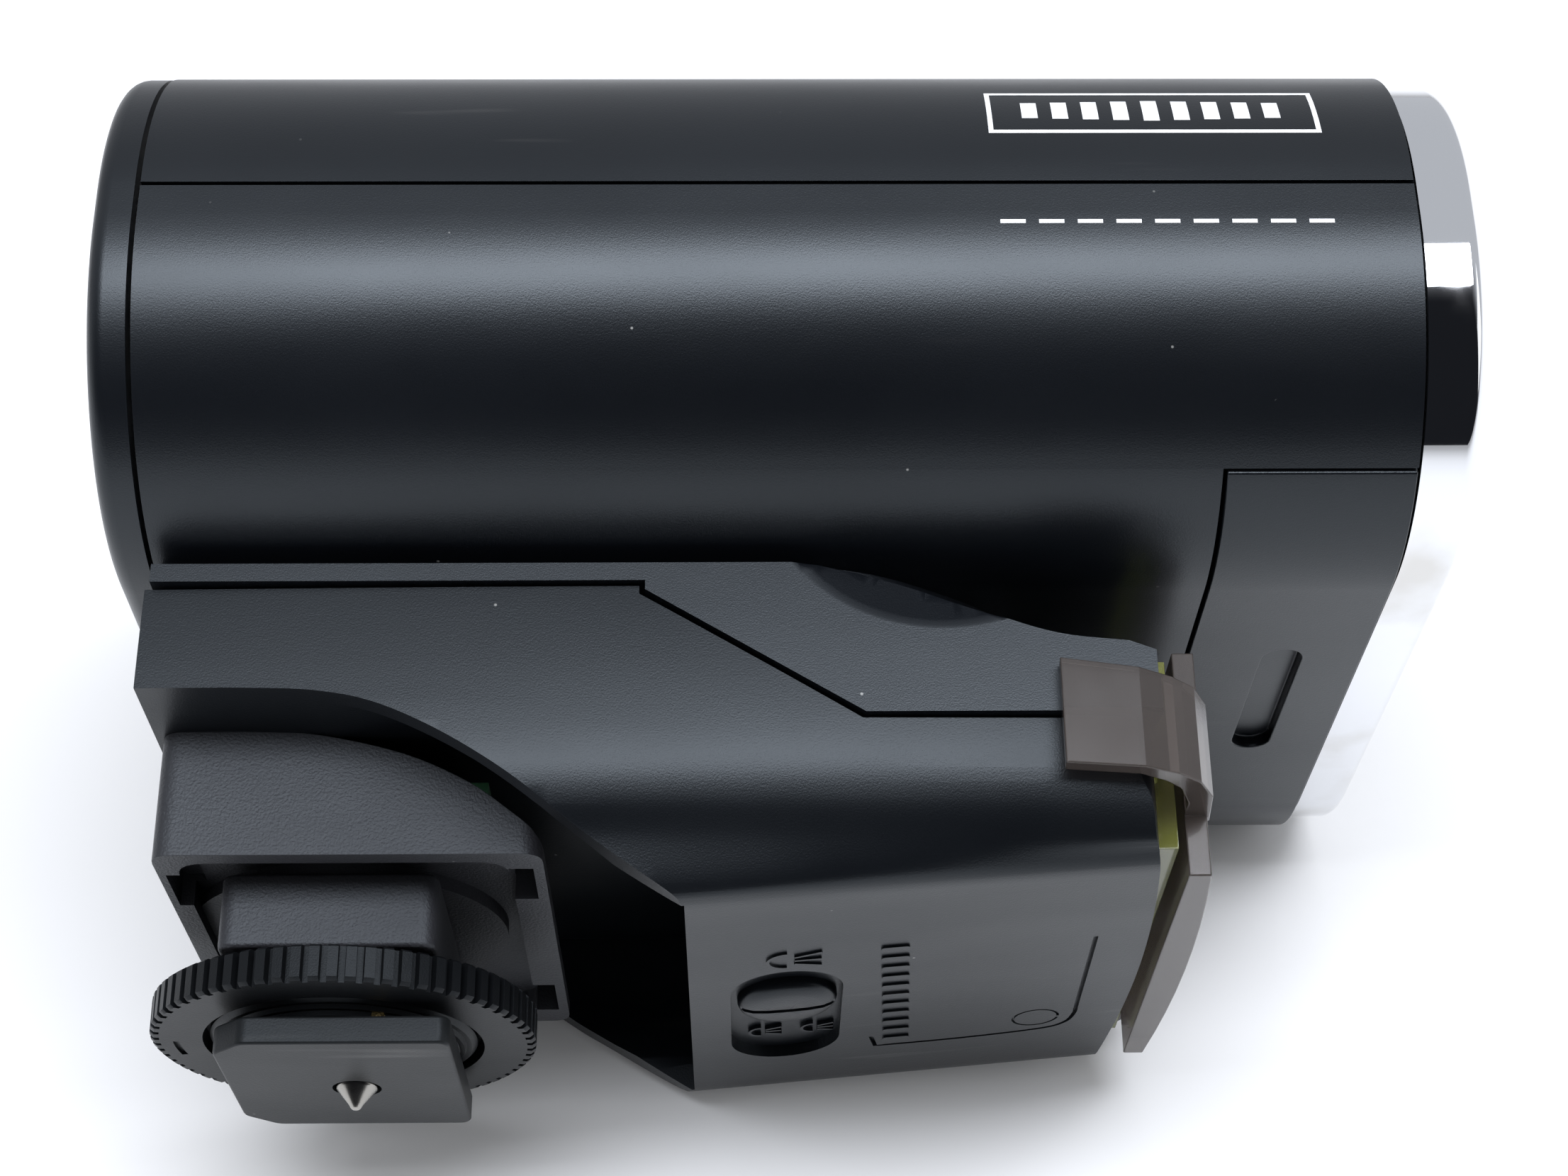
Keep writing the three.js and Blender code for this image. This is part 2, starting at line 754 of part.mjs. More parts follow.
// Lay the flash down and stand it on the floor, centred on the origin.
const flash = new THREE.Group();
upright.rotation.x = restTilt;
flash.add(upright);
flash.updateMatrixWorld(true);
const bounds = new THREE.Box3().setFromObject(flash, true);
const middle = bounds.getCenter(new THREE.Vector3());
upright.position.set(-middle.x, -middle.y, -bounds.min.z);

export default flash;
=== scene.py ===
"""The looks of a speedlight flash that lies on its left side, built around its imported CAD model.

Shapes are drawn in the flash's own upright frame, in millimetres (X forward, Y up, Z to its right),
and placed in the row frame by one matrix taken from the head's hinge.
"""
import json
import math

import bmesh
import bpy
from mathutils import Matrix, Vector


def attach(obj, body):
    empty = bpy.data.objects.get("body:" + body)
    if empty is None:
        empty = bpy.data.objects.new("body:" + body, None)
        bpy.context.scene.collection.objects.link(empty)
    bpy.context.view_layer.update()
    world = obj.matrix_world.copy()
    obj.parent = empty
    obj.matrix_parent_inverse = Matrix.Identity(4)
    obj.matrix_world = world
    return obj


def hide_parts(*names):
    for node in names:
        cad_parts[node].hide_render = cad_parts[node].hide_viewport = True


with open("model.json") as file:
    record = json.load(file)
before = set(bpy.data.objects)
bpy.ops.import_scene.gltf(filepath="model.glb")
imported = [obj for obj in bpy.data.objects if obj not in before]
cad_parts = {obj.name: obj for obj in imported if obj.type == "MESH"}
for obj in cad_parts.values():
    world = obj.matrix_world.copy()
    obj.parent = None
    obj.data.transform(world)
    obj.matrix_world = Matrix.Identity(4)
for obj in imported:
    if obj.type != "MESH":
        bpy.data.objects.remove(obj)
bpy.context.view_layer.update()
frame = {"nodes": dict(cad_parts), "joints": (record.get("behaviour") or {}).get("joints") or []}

# ---------------------------------------------------------------- the flash's own frame

MM = 0.001
HINGE_X = -7.85
HINGE_Y = 64.5

joints = {joint["name"]: joint for joint in frame["joints"]}
FORWARD = Vector((1, 0, 0))
RIGHT = Vector(joints["head_tilt"]["axis"]).normalized()
UP = RIGHT.cross(FORWARD)
HINGE = Vector(joints["head_tilt"]["pos_m"])
ORIGIN = HINGE - MM * (HINGE_X * FORWARD + HINGE_Y * UP)
FLASH = Matrix.Translation(ORIGIN) @ Matrix((FORWARD, UP, RIGHT)).transposed().to_4x4() @ Matrix.Scale(MM, 4)


class Extent:
    """A CAD node's lowest and highest corner in the flash's frame, in millimetres."""

    def __init__(self, node):
        inverse = FLASH.inverted()
        points = [inverse @ v.co for v in frame["nodes"][node].data.vertices]
        self.low = Vector([min(p[i] for p in points) for i in range(3)])
        self.high = Vector([max(p[i] for p in points) for i in range(3)])
        self.mid = (self.low + self.high) / 2


HOUSING = Extent("main_housing")
COVER = Extent("top_cover")
REAR = Extent("rear_cover")
RIM = Extent("front_frame")
BASE = Extent("lower_shell")
ADAPTER = Extent("adapter_housing")
BLOCK = Extent("foot_block")
RING = Extent("locking_ring")
FOOT = Extent("shoe_foot")
FILTER = Extent("attenuator_filter")
WINDOW = Extent("second_window")
DOOR = Extent("battery_door")
PANEL = Extent("front_panel")
CONTACT = Extent("centre_contact")
KEY = Extent("test_button")
LAMP_PLACE = Extent("ready_lamp")
WASHER = Extent("clamp_washer")
PLATE = Extent("info_plate")
LENS = Extent("front_lens")

# Clearance between neighbouring pieces, wall of the moulded shells, and a length past everything
GAP = 0.3
WALL = 1.8
FAR = 100.0

# The barrel: its outline, its widest line, its flat underside and the corners beside it
TOP = COVER.high.y
HALF = HOUSING.high.z
SEAM = (HOUSING.high.y + COVER.low.y) / 2
BARREL_FLOOR = 29.4
CORNER_R = 19.0
CORNER_Y = BARREL_FLOOR + CORNER_R
CORNER_Z = HALF - CORNER_R
BODY_REAR = HOUSING.low.x
BODY_FRONT = HOUSING.high.x
ARC_STEPS = 28

# The second window's pane
WINDOW_HALF = 18.5
WINDOW_FRONT = 57.9
WINDOW_TOP = 24.2

# ---------------------------------------------------------------- mesh tools


def link(name, data):
    obj = bpy.data.objects.new(name, data)
    bpy.context.scene.collection.objects.link(obj)
    return obj


def from_bmesh(name, bm):
    bmesh.ops.recalc_face_normals(bm, faces=bm.faces)
    mesh = bpy.data.meshes.new(name)
    bm.to_mesh(mesh)
    bm.free()
    return link(name, mesh)


def lift(axis, a, b, depth):
    """A point of an outline at a depth along an axis: (z, y) along x, (x, z) along y, (x, y) along z."""
    return {"x": (depth, b, a), "y": (a, depth, b), "z": (a, b, depth)}[axis]


def loft(name, rings):
    """Skins a list of rings with the same number of points and closes both ends."""
    bm = bmesh.new()
    rows = [[bm.verts.new(p) for p in ring] for ring in rings]
    for one, two in zip(rows, rows[1:]):
        for i in range(len(one)):
            j = (i + 1) % len(one)
            bm.faces.new((one[i], one[j], two[j], two[i]))
    bm.faces.new(rows[0])
    bm.faces.new(rows[-1])
    return from_bmesh(name, bm)


def prism(axis, outline, low, high, name="tool"):
    return loft(name, [[lift(axis, a, b, depth) for a, b in outline] for depth in (low, high)])


def block(x0, x1, y0, y1, z0, z1, name="tool"):
    return prism("z", [(x0, y0), (x1, y0), (x1, y1), (x0, y1)], z0, z1, name)


def disc(axis, radius, a, b, low, high, sides=48, name="tool"):
    return prism(axis, arc(a, b, radius, 0, 360, sides)[:-1], low, high, name)


def lathe(name, profile, centre=(0, 0), sides=64):
    """Turns a closed (radius, y) profile round the Y axis."""
    bm = bmesh.new()
    rows = []
    for i in range(sides):
        angle = 2 * math.pi * i / sides
        c, s = math.cos(angle), math.sin(angle)
        rows.append([bm.verts.new((centre[0] + r * c, y, centre[1] + r * s)) for r, y in profile])
    for i in range(sides):
        one, two = rows[i], rows[(i + 1) % sides]
        for k in range(len(profile)):
            m = (k + 1) % len(profile)
            bm.faces.new((one[k], one[m], two[m], two[k]))
    return from_bmesh(name, bm)


def arc(cx, cy, radius, start, end, steps):
    """Points on an arc, angles in degrees, both ends included."""
    points = []
    for i in range(steps + 1):
        angle = math.radians(start + (end - start) * i / steps)
        points.append((cx + radius * math.cos(angle), cy + radius * math.sin(angle)))
    return points


def spline(a, b, c, d, t):
    """One coordinate of a Catmull-Rom curve, a part t of the way from b to c."""
    slope = c - a
    bend = 2 * a - 5 * b + 4 * c - d
    twist = 3 * b - a - 3 * c + d
    return 0.5 * (2 * b + slope * t + bend * t * t + twist * t ** 3)


def smooth_curve(points, steps=8):
    """A Catmull-Rom curve through a list of points, ends included."""
    ends = [points[0], *points, points[-1]]
    curve = []
    for p0, p1, p2, p3 in zip(ends, ends[1:], ends[2:], ends[3:]):
        for i in range(steps):
            t = i / steps
            curve.append(tuple(spline(a, b, c, d, t) for a, b, c, d in zip(p0, p1, p2, p3)))
    curve.append(points[-1])
    return curve


def rounded(points, radius, steps=5):
    """A polygon with every corner rounded, by less than half of either side."""
    longest = 0.45
    outline = []
    for i, point in enumerate(points):
        before, here, after = Vector(points[i - 1]), Vector(point), Vector(points[(i + 1) % len(points)])
        one, two = (before - here).normalized(), (after - here).normalized()
        reach = min(radius, (before - here).length * longest, (after - here).length * longest)
        start, end = here + one * reach, here + two * reach
        for k in range(steps + 1):
            t = k / steps
            outline.append(tuple(start * (1 - t) ** 2 + here * (2 * t * (1 - t)) + end * t * t))
    return outline


def box_outline(a0, a1, b0, b1):
    return [(a0, b0), (a1, b0), (a1, b1), (a0, b1)]


def mirrored(points, which):
    """The other half of an outline: the points in reverse, with one of their coordinates negated."""
    return [tuple(-v if i == which else v for i, v in enumerate(point)) for point in reversed(points)]


def bake(obj):
    graph = bpy.context.evaluated_depsgraph_get()
    mesh = bpy.data.meshes.new_from_object(obj.evaluated_get(graph))
    obj.modifiers.clear()
    obj.data = mesh
    return obj


def combine(operation, obj, *tools):
    for tool in tools:
        modifier = obj.modifiers.new("combine", "BOOLEAN")
        modifier.operation = operation
        modifier.solver = "EXACT"
        modifier.object = tool
        bake(obj)
        bpy.data.objects.remove(tool)
    return obj


def cut(obj, *tools):
    return combine("DIFFERENCE", obj, *tools)


def join(obj, *tools):
    return combine("UNION", obj, *tools)


def common(obj, *tools):
    return combine("INTERSECT", obj, *tools)


def soften(obj, width, segments=2, angle=32):
    """Rounds the sharp edges."""
    clean(obj)
    modifier = obj.modifiers.new("round", "BEVEL")
    modifier.width = width
    modifier.segments = segments
    modifier.limit_method = "ANGLE"
    modifier.angle_limit = math.radians(angle)
    modifier.miter_outer = "MITER_ARC"
    modifier.use_clamp_overlap = True
    return bake(obj)


def clean(obj):
    """Merges points that nearly touch and removes edges between faces that lie flat."""
    touching, flat = 0.002, math.radians(0.2)
    bm = bmesh.new()
    bm.from_mesh(obj.data)
    bmesh.ops.remove_doubles(bm, verts=bm.verts, dist=touching)
    bmesh.ops.dissolve_limit(
        bm, angle_limit=flat, verts=bm.verts, edges=bm.edges, use_dissolve_boundaries=False
    )
    bm.to_mesh(obj.data)
    bm.free()
    return obj


def turn(obj, axis, degrees):
    obj.data.transform(Matrix.Rotation(math.radians(degrees), 4, axis))
    return obj


def move(obj, place):
    obj.data.transform(Matrix.Translation(place))
    return obj


def finish_piece(obj, name, body, look, nodes=(), angle=35):
    """Places a piece in the row frame, gives it its material and joins it to the CAD model."""
    obj.name = name
    obj.data.name = name
    obj.data.transform(FLASH)
    obj.data.shade_smooth()
    obj.data.set_sharp_from_angle(angle=math.radians(angle))
    weighted = obj.modifiers.new("normals", "WEIGHTED_NORMAL")
    weighted.keep_sharp = True
    obj.data.materials.clear()
    obj.data.materials.append(look)
    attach(obj, body)
    if nodes:
        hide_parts(*nodes)
    return obj


# ---------------------------------------------------------------- materials


class Graph:
    """A node tree with short calls for the usual nodes."""

    def __init__(self, tree):
        self.tree = tree

    def node(self, kind, **settings):
        made = self.tree.nodes.new(kind)
        for key, value in settings.items():
            setattr(made, key, value)
        return made

    def wire(self, output, socket):
        self.tree.links.new(output, socket)

    def feed(self, value, socket):
        """Sets a socket to a number or a colour, or links it to another node's output."""
        if isinstance(value, (int, float)):
            socket.default_value = value
        elif isinstance(value, tuple):
            socket.default_value = (*value, 1)
        else:
            self.wire(value, socket)

    def ramp(self, value, low, high, start=0.0, end=1.0, shape="LINEAR"):
        made = self.node("ShaderNodeMapRange", interpolation_type=shape)
        for key, number in (("From Min", low), ("From Max", high), ("To Min", start), ("To Max", end)):
            made.inputs[key].default_value = number
        self.wire(value, made.inputs["Value"])
        return made.outputs["Result"]

    def math(self, operation, one, two):
        made = self.node("ShaderNodeMath", operation=operation)
        self.feed(one, made.inputs[0])
        self.feed(two, made.inputs[1])
        return made.outputs["Value"]

    def mix(self, factor, one, two):
        made = self.node("ShaderNodeMix", data_type="RGBA")
        self.wire(factor, made.inputs["Factor"])
        self.feed(one, made.inputs["A"])
        self.feed(two, made.inputs["B"])
        return made.outputs["Result"]


class Look(Graph):
    """A material on a Principled shader, with textures that lie still on the object."""

    def __init__(self, name):
        self.material = bpy.data.materials.new(name)
        self.material.use_nodes = True
        super().__init__(self.material.node_tree)
        self.shader = self.tree.nodes["Principled BSDF"]
        self.place = self.node("ShaderNodeTexCoord").outputs["Object"]

    def set(self, **values):
        for key, value in values.items():
            self.shader.inputs[key.replace("_", " ")].default_value = value

    def texture(self, kind, scale, stretch):
        mapping = self.node("ShaderNodeMapping")
        mapping.inputs["Scale"].default_value = stretch
        self.wire(self.place, mapping.inputs["Vector"])
        made = self.node(kind)
        made.inputs["Scale"].default_value = scale
        self.wire(mapping.outputs["Vector"], made.inputs["Vector"])
        return made

    def noise(self, scale, detail=3.0, stretch=(1, 1, 1)):
        made = self.texture("ShaderNodeTexNoise", scale, stretch)
        made.inputs["Detail"].default_value = detail
        return made.outputs["Fac"]

    def cells(self, scale):
        return self.texture("ShaderNodeTexVoronoi", scale, (1, 1, 1)).outputs["Distance"]

    def bump(self, height, distance, strength=1.0):
        made = self.node("ShaderNodeBump")
        made.inputs["Distance"].default_value = distance
        made.inputs["Strength"].default_value = strength
        self.wire(height, made.inputs["Height"])
        return made.outputs["Normal"]

    def colour(self, output):
        self.wire(output, self.shader.inputs["Base Color"])

    def rough(self, output):
        self.wire(output, self.shader.inputs["Roughness"])

    def normal(self, output):
        self.wire(output, self.shader.inputs["Normal"])


def plastic(name, dark, light, rough_low, rough_high, grain, depth, dust=0.0, scuffs=0.0, shine=0.26):
    """Moulded plastic: fine grain, uneven sheen, thin scuffs and sparse specks of dust."""
    scuff_colour, dust_colour = (0.085, 0.082, 0.078), (0.5, 0.5, 0.48)
    look = Look(name)
    cloud = look.noise(45, 4)
    colour = look.mix(look.ramp(cloud, 0.35, 0.7), dark, light)
    smear = look.noise(70, 5, stretch=(0.35, 1, 1))
    rough = look.ramp(smear, 0.3, 0.72, rough_high, rough_low)
    if scuffs:
        lines = look.noise(260, 2, stretch=(0.12, 1.6, 1.6))
        patch = look.ramp(look.noise(28, 2), 0.52, 0.7)
        mark = look.math("MULTIPLY", look.ramp(lines, 0.66, 0.74), patch)
        colour = look.mix(look.math("MULTIPLY", mark, scuffs), colour, scuff_colour)
        rough = look.math("SUBTRACT", rough, look.math("MULTIPLY", mark, 0.12))
    if dust:
        speck = look.ramp(look.cells(420), 0.055, 0.03)
        sparse = look.ramp(look.noise(150, 1), 0.6, 0.64)
        amount = look.math("MULTIPLY", look.math("MULTIPLY", speck, sparse), dust)
        colour = look.mix(amount, colour, dust_colour)
    look.colour(colour)
    look.rough(rough)
    look.normal(look.bump(look.noise(grain, 2), depth))
    look.set(Specular_IOR_Level=shine, Specular_Tint=(0.86, 0.94, 1.0, 1.0))
    return look.material


def metal(name, colour, shade, rough_low, rough_high, brush=(1, 1, 1), depth=0.00001):
    """Bare metal with cloudy tarnish and a brushed or turned grain."""
    look = Look(name)
    look.colour(look.mix(look.ramp(look.noise(60, 3), 0.35, 0.7), colour, shade))
    look.rough(look.ramp(look.noise(240, 3, stretch=brush), 0.3, 0.75, rough_low, rough_high))
    look.normal(look.bump(look.noise(900, 2, stretch=brush), depth, 0.5))
    look.set(Metallic=1.0)
    return look.material


def clear(name, colour, ior, rough, transmission=1.0):
    """Glass or tinted plastic, with faint clouds and smears."""
    clouded, smeared = tuple(c * 0.93 for c in colour), rough + 0.08
    look = Look(name)
    look.colour(look.mix(look.ramp(look.noise(90, 3), 0.3, 0.75), colour, clouded))
    look.rough(look.ramp(look.noise(120, 3), 0.4, 0.8, rough, smeared))
    look.set(Transmission_Weight=transmission, IOR=ior)
    return look.material


def chrome_look():
    """Polished chrome with dull smudges and a slightly wavy surface."""
    polished, smudged = 0.035, 0.16
    look = Look("polished chrome")
    smudge = look.ramp(look.noise(75, 5), 0.55, 0.72)
    look.colour(look.mix(smudge, (0.74, 0.75, 0.77), (0.6, 0.59, 0.57)))
    look.rough(look.math("ADD", look.math("MULTIPLY", smudge, smudged), polished))
    look.normal(look.bump(look.noise(55, 2), 0.00004, 0.35))
    look.set(Metallic=1.0)
    return look.material


def printed_look():
    """White screen print, a little worn."""
    look = Look("white print")
    wear = look.ramp(look.noise(900, 3), 0.35, 0.6)
    look.colour(look.mix(wear, (0.62, 0.63, 0.64), (0.78, 0.79, 0.8)))
    look.rough(look.ramp(look.noise(400, 2), 0.3, 0.7, 0.38, 0.55))
    return look.material


HOUSING_LOOK = plastic(
    "housing plastic", (0.0022, 0.0028, 0.0042), (0.0036, 0.0044, 0.0062), 0.27, 0.36,
    grain=9000, depth=0.000009, dust=0.5, scuffs=0.4, shine=0.46,
)
BASE_LOOK = plastic(
    "base plastic", (0.0022, 0.0028, 0.004), (0.0038, 0.0046, 0.006), 0.3, 0.4,
    grain=8000, depth=0.000012, dust=0.4, scuffs=0.3, shine=0.33,
)
ADAPTER_LOOK = plastic(
    "adapter plastic", (0.0085, 0.0078, 0.0098), (0.0165, 0.0155, 0.0182), 0.46, 0.6,
    grain=5200, depth=0.00005, dust=0.3, scuffs=0.1, shine=0.6,
)
RING_LOOK = plastic(
    "ring plastic", (0.0028, 0.0032, 0.004), (0.005, 0.0055, 0.0062), 0.32, 0.44,
    grain=8000, depth=0.000012, dust=0.7, scuffs=0.2, shine=0.17,
)
FOOT_LOOK = plastic(
    "foot coating", (0.005, 0.0056, 0.0062), (0.009, 0.0098, 0.0105), 0.34, 0.46,
    grain=7000, depth=0.000014, dust=0.4, scuffs=0.5, shine=0.17,
)
CONTROL_LOOK = plastic(
    "control plastic", (0.05, 0.052, 0.056), (0.075, 0.078, 0.082), 0.4, 0.52,
    grain=7000, depth=0.00001, dust=0.4, scuffs=0.2,
)
INNER_LOOK = plastic(
    "inner plastic", (0.008, 0.008, 0.009), (0.013, 0.013, 0.014), 0.5, 0.62,
    grain=5000, depth=0.00001,
)
BOARD = plastic(
    "board lacquer", (0.012, 0.05, 0.022), (0.025, 0.085, 0.035), 0.25, 0.4,
    grain=900, depth=0.00002,
)
CELL = plastic(
    "cell sleeve", (0.02, 0.06, 0.15), (0.03, 0.08, 0.2), 0.2, 0.32,
    grain=700, depth=0.00001,
)
SLEEVE = plastic(
    "capacitor sleeve", (0.012, 0.014, 0.018), (0.02, 0.022, 0.028), 0.22, 0.34,
    grain=700, depth=0.00001,
)
CHROME = chrome_look()
PRINT = printed_look()
SMOKE = clear("smoke plastic", (0.15, 0.125, 0.112), 1.46, 0.16, 0.74)
GREEN_CLEAR = clear("green-tinged lens", (0.52, 0.55, 0.14), 1.5, 0.04, 0.8)
PLATED = metal("plated contact", (0.42, 0.40, 0.36), (0.3, 0.29, 0.27), 0.18, 0.3)
CLEAR = clear("clear lens", (0.93, 0.94, 0.92), 1.5, 0.02)
GLASS = clear("tube glass", (0.95, 0.96, 0.96), 1.45, 0.01)
REFLECTOR = metal("bright reflector", (0.86, 0.87, 0.88), (0.78, 0.79, 0.8), 0.1, 0.22, (1, 8, 1))
STEEL = metal("plain steel", (0.55, 0.56, 0.58), (0.42, 0.43, 0.44), 0.28, 0.42, (1, 6, 1))
BRASS = metal("contact gold", (0.83, 0.62, 0.27), (0.7, 0.5, 0.2), 0.16, 0.3)
COPPER = metal("coil wire", (0.62, 0.3, 0.14), (0.45, 0.2, 0.08), 0.25, 0.4, (1, 1, 20), 0.00005)
LAMP = clear("lamp plastic", (0.85, 0.28, 0.05), 1.5, 0.12)

# ---------------------------------------------------------------- sections


def upper_outline(inset, base):
    """The barrel's upper half, from end on."""
    radius = TOP - inset - base
    centre = HALF - inset - radius
    return arc(centre, base, radius, 0, 90, ARC_STEPS) + arc(-centre, base, radius, 90, 180, ARC_STEPS)


def lower_outline(inset, top):
    """The barrel's lower half, from end on."""
    radius = CORNER_R - inset
    half = HALF - inset
    left = arc(-CORNER_Z, CORNER_Y, radius, 180, 270, ARC_STEPS)
    return [(half, top), (-half, top), *left, *arc(CORNER_Z, CORNER_Y, radius, 270, 360, ARC_STEPS)]


def full_outline(inset, steps=ARC_STEPS):
    """The whole barrel, from end on."""
    radius = TOP - SEAM - inset
    centre = HALF - inset - radius
    return (
        arc(-CORNER_Z, CORNER_Y, CORNER_R - inset, 180, 270, steps)
        + arc(CORNER_Z, CORNER_Y, CORNER_R - inset, 270, 360, steps)
        + arc(centre, SEAM, radius, 0, 90, steps)
        + arc(-centre, SEAM, radius, 90, 180, steps)
    )


def ringed(outline, x):
    return [(x, y, z) for z, y in outline]


# ---------------------------------------------------------------- barrel

HINGE_R = TOP - HINGE_Y
DOOR_LOW, DOOR_HIGH, DOOR_INSIDE = DOOR.low.y, DOOR.high.y, -20
CHEEK_HALF = 24.9
STRIP_TOP = 28.75
LEDGE = 27.4
NECK_REAR = BODY_REAR + 0.3
ROOF = [
    (54.6, 22.7), (50.3, 23.2), (46.7, 24.3), (43.2, 25.9), (40.3, 27.2), (37.1, 28.2), (33.8, STRIP_TOP),
]


def door_zone(grow):
    return block(DOOR.low.x - grow, FAR, DOOR_LOW - grow, DOOR_HIGH + grow, -FAR, DOOR_INSIDE)


def window_opening(rear, low, high):
    """The opening for the second window, a gap wider than its pane."""
    return block(rear, FAR, low, high, -WINDOW_HALF - GAP, WINDOW_HALF + GAP)


def top_cover():
    """The barrel's upper half, cut round at the rear so that it clears the hinge as it tilts."""
    base = SEAM + GAP / 2
    shell = cut(
        prism("x", upper_outline(0, base), BODY_REAR, BODY_FRONT),
        prism("x", upper_outline(WALL, base - 1), BODY_REAR - 1, BODY_FRONT + 1),
    )
    side = [(BODY_REAR, base - 1), (FAR, base - 1), (FAR, FAR)]
    side += [(HINGE_X, FAR)] + arc(HINGE_X, HINGE_Y, HINGE_R, 90, 180, 16)
    common(shell, prism("z", side, -FAR, FAR))
    soften(shell, 0.32, 3)
    finish_piece(shell, "cover_shell", "head", HOUSING_LOOK, ["top_cover"])


def cheek_outline():
    """Side view of the strip under the barrel and of the cheeks beside the second flash."""
    front, front_top = BASE.high.x - 0.6, 22.0
    bend, bend_top, cheek_low = 22.0, 26.7, 17.5
    return [
        (NECK_REAR, STRIP_TOP),
        (NECK_REAR, LEDGE),
        (bend, LEDGE),
        (bend, bend_top),
        (36.8, cheek_low),
        (front, cheek_low),
        (front, front_top),
        *smooth_curve(ROOF),
    ]


def dimple(side):
    """A shallow hollow in a cheek, just under its sloping roof."""
    radius, outside, length = 30.0, 27.9, 1.1
    middle = Vector((42.2, 34.6, side * (CHEEK_HALF + outside)))
    bm = bmesh.new()
    bmesh.ops.create_uvsphere(bm, u_segments=96, v_segments=64, radius=radius)
    bmesh.ops.scale(bm, vec=(length, 1, 1), verts=bm.verts)
    bmesh.ops.translate(bm, vec=middle, verts=bm.verts)
    return from_bmesh("tool", bm)


def neck_core():
    """The middle of the neck: it carries the barrel and ends in front of the second flash's roof."""
    half = 22.3
    rear = block(NECK_REAR, 33, 26, 31, -half, half)
    plan = [(30, -half), (34, -half), (38.4, -21.2), (42.5, -18.8), (46.2, -15.6), (48, -12)]
    outline = smooth_curve(plan, 5) + smooth_curve(mirrored(plan, 1), 5)
    return join(rear, prism("y", outline, 20, 33))


def housing_shell():
    """The barrel's lower half with its neck, cheeks and the roof over the second flash."""
    shell = cut(
        prism("x", lower_outline(0, SEAM - GAP / 2), BODY_REAR, BODY_FRONT),
        prism("x", lower_outline(WALL, SEAM + 1), BODY_REAR - 1, BODY_FRONT + 1),
    )
    front = BASE.high.x
    neck = prism("z", cheek_outline(), -CHEEK_HALF, CHEEK_HALF)
    cut(neck, dimple(1), dimple(-1))
    soften(neck, 0.22, 3, 28)
    roof_half = 19.2
    roof = block(38, front - 0.9, 22, WINDOW_TOP + 0.7, -roof_half, roof_half)
    join(neck, neck_core(), roof)
    reflector_well = block(24, front - WALL, 0, 20.8, WALL - CHEEK_HALF, CHEEK_HALF - WALL)
    board_well = block(-10, 22, 0, 28.0, -20, 20)
    cut(neck, reflector_well, window_opening(front - WALL - 2, 0, WINDOW_TOP + GAP), board_well)
    join(shell, neck)
    panel_gap = block(PANEL.low.x - GAP, FAR, 0, PANEL.high.y, PANEL.low.z - GAP, PANEL.high.z + GAP)
    cut(shell, panel_gap, door_zone(GAP))
    soften(shell, 0.16, 2, 40)
    finish_piece(shell, "housing_shell", "base", HOUSING_LOOK, ["main_housing"])


def rear_panel():
    """The rear cover: a rolled edge, a shallow face, and openings for the controls."""
    front, back = REAR.high.x, REAR.low.x
    outside, inside = back - 1, front + 1
    roll, roll_steps = 1.3, 6
    rings = [ringed(full_outline(0), front)]
    for i in range(roll_steps + 1):
        angle = math.radians(90 * i / roll_steps)
        rings.append(ringed(full_outline(roll * (1 - math.cos(angle))), back + roll - roll * math.sin(angle)))
    panel = loft("panel", rings)
    border, face_depth = 4.5, 0.25
    cut(panel, prism("x", rounded(full_outline(border, 12), 0.1, 1), outside, back + face_depth))
    slot_low, slot_high, plate_depth = 55.6, 60.4, 0.6
    cut(
        panel,
        disc("x", 3.35, KEY.mid.z, KEY.mid.y, outside, inside),
        disc("x", 1.9, LAMP_PLACE.mid.z, LAMP_PLACE.mid.y, outside, inside, 32),
        block(outside, inside, slot_low, slot_high, -25.9, -14.1),
        block(outside, inside, slot_low, slot_high, -7.9, 7.9),
        prism("x", rounded(box_outline(-24, 24, 36, 50), 1.5), outside, back + plate_depth),
    )
    soften(panel, 0.22, 2, 30)
    finish_piece(panel, "rear_panel", "base", HOUSING_LOOK, ["rear_cover"])


def underside_panel():
    """The head's panel under the barrel's front end, with a finger groove."""
    panel = common(
        cut(
            prism("x", lower_outline(0, SEAM), PANEL.low.x, BODY_FRONT),
            prism("x", lower_outline(WALL, SEAM + 1), PANEL.low.x - 1, BODY_FRONT + 1),
        ),
        block(PANEL.low.x, BODY_FRONT, 0, PANEL.high.y - 0.2, PANEL.low.z, PANEL.high.z),
    )
    x, z, half_x, half_z, depth = 68.3, 1.2, 1.45, 8.6, 1.0
    groove = arc(x, z + half_z - half_x, half_x, 0, 180, 12)
    groove += arc(x, z - half_z + half_x, half_x, 180, 360, 12)
    cut(panel, prism("y", groove, 0, BARREL_FLOOR + depth))
    soften(panel, 0.25, 3, 30)
    finish_piece(panel, "underside_panel", "head", HOUSING_LOOK, ["front_panel"])


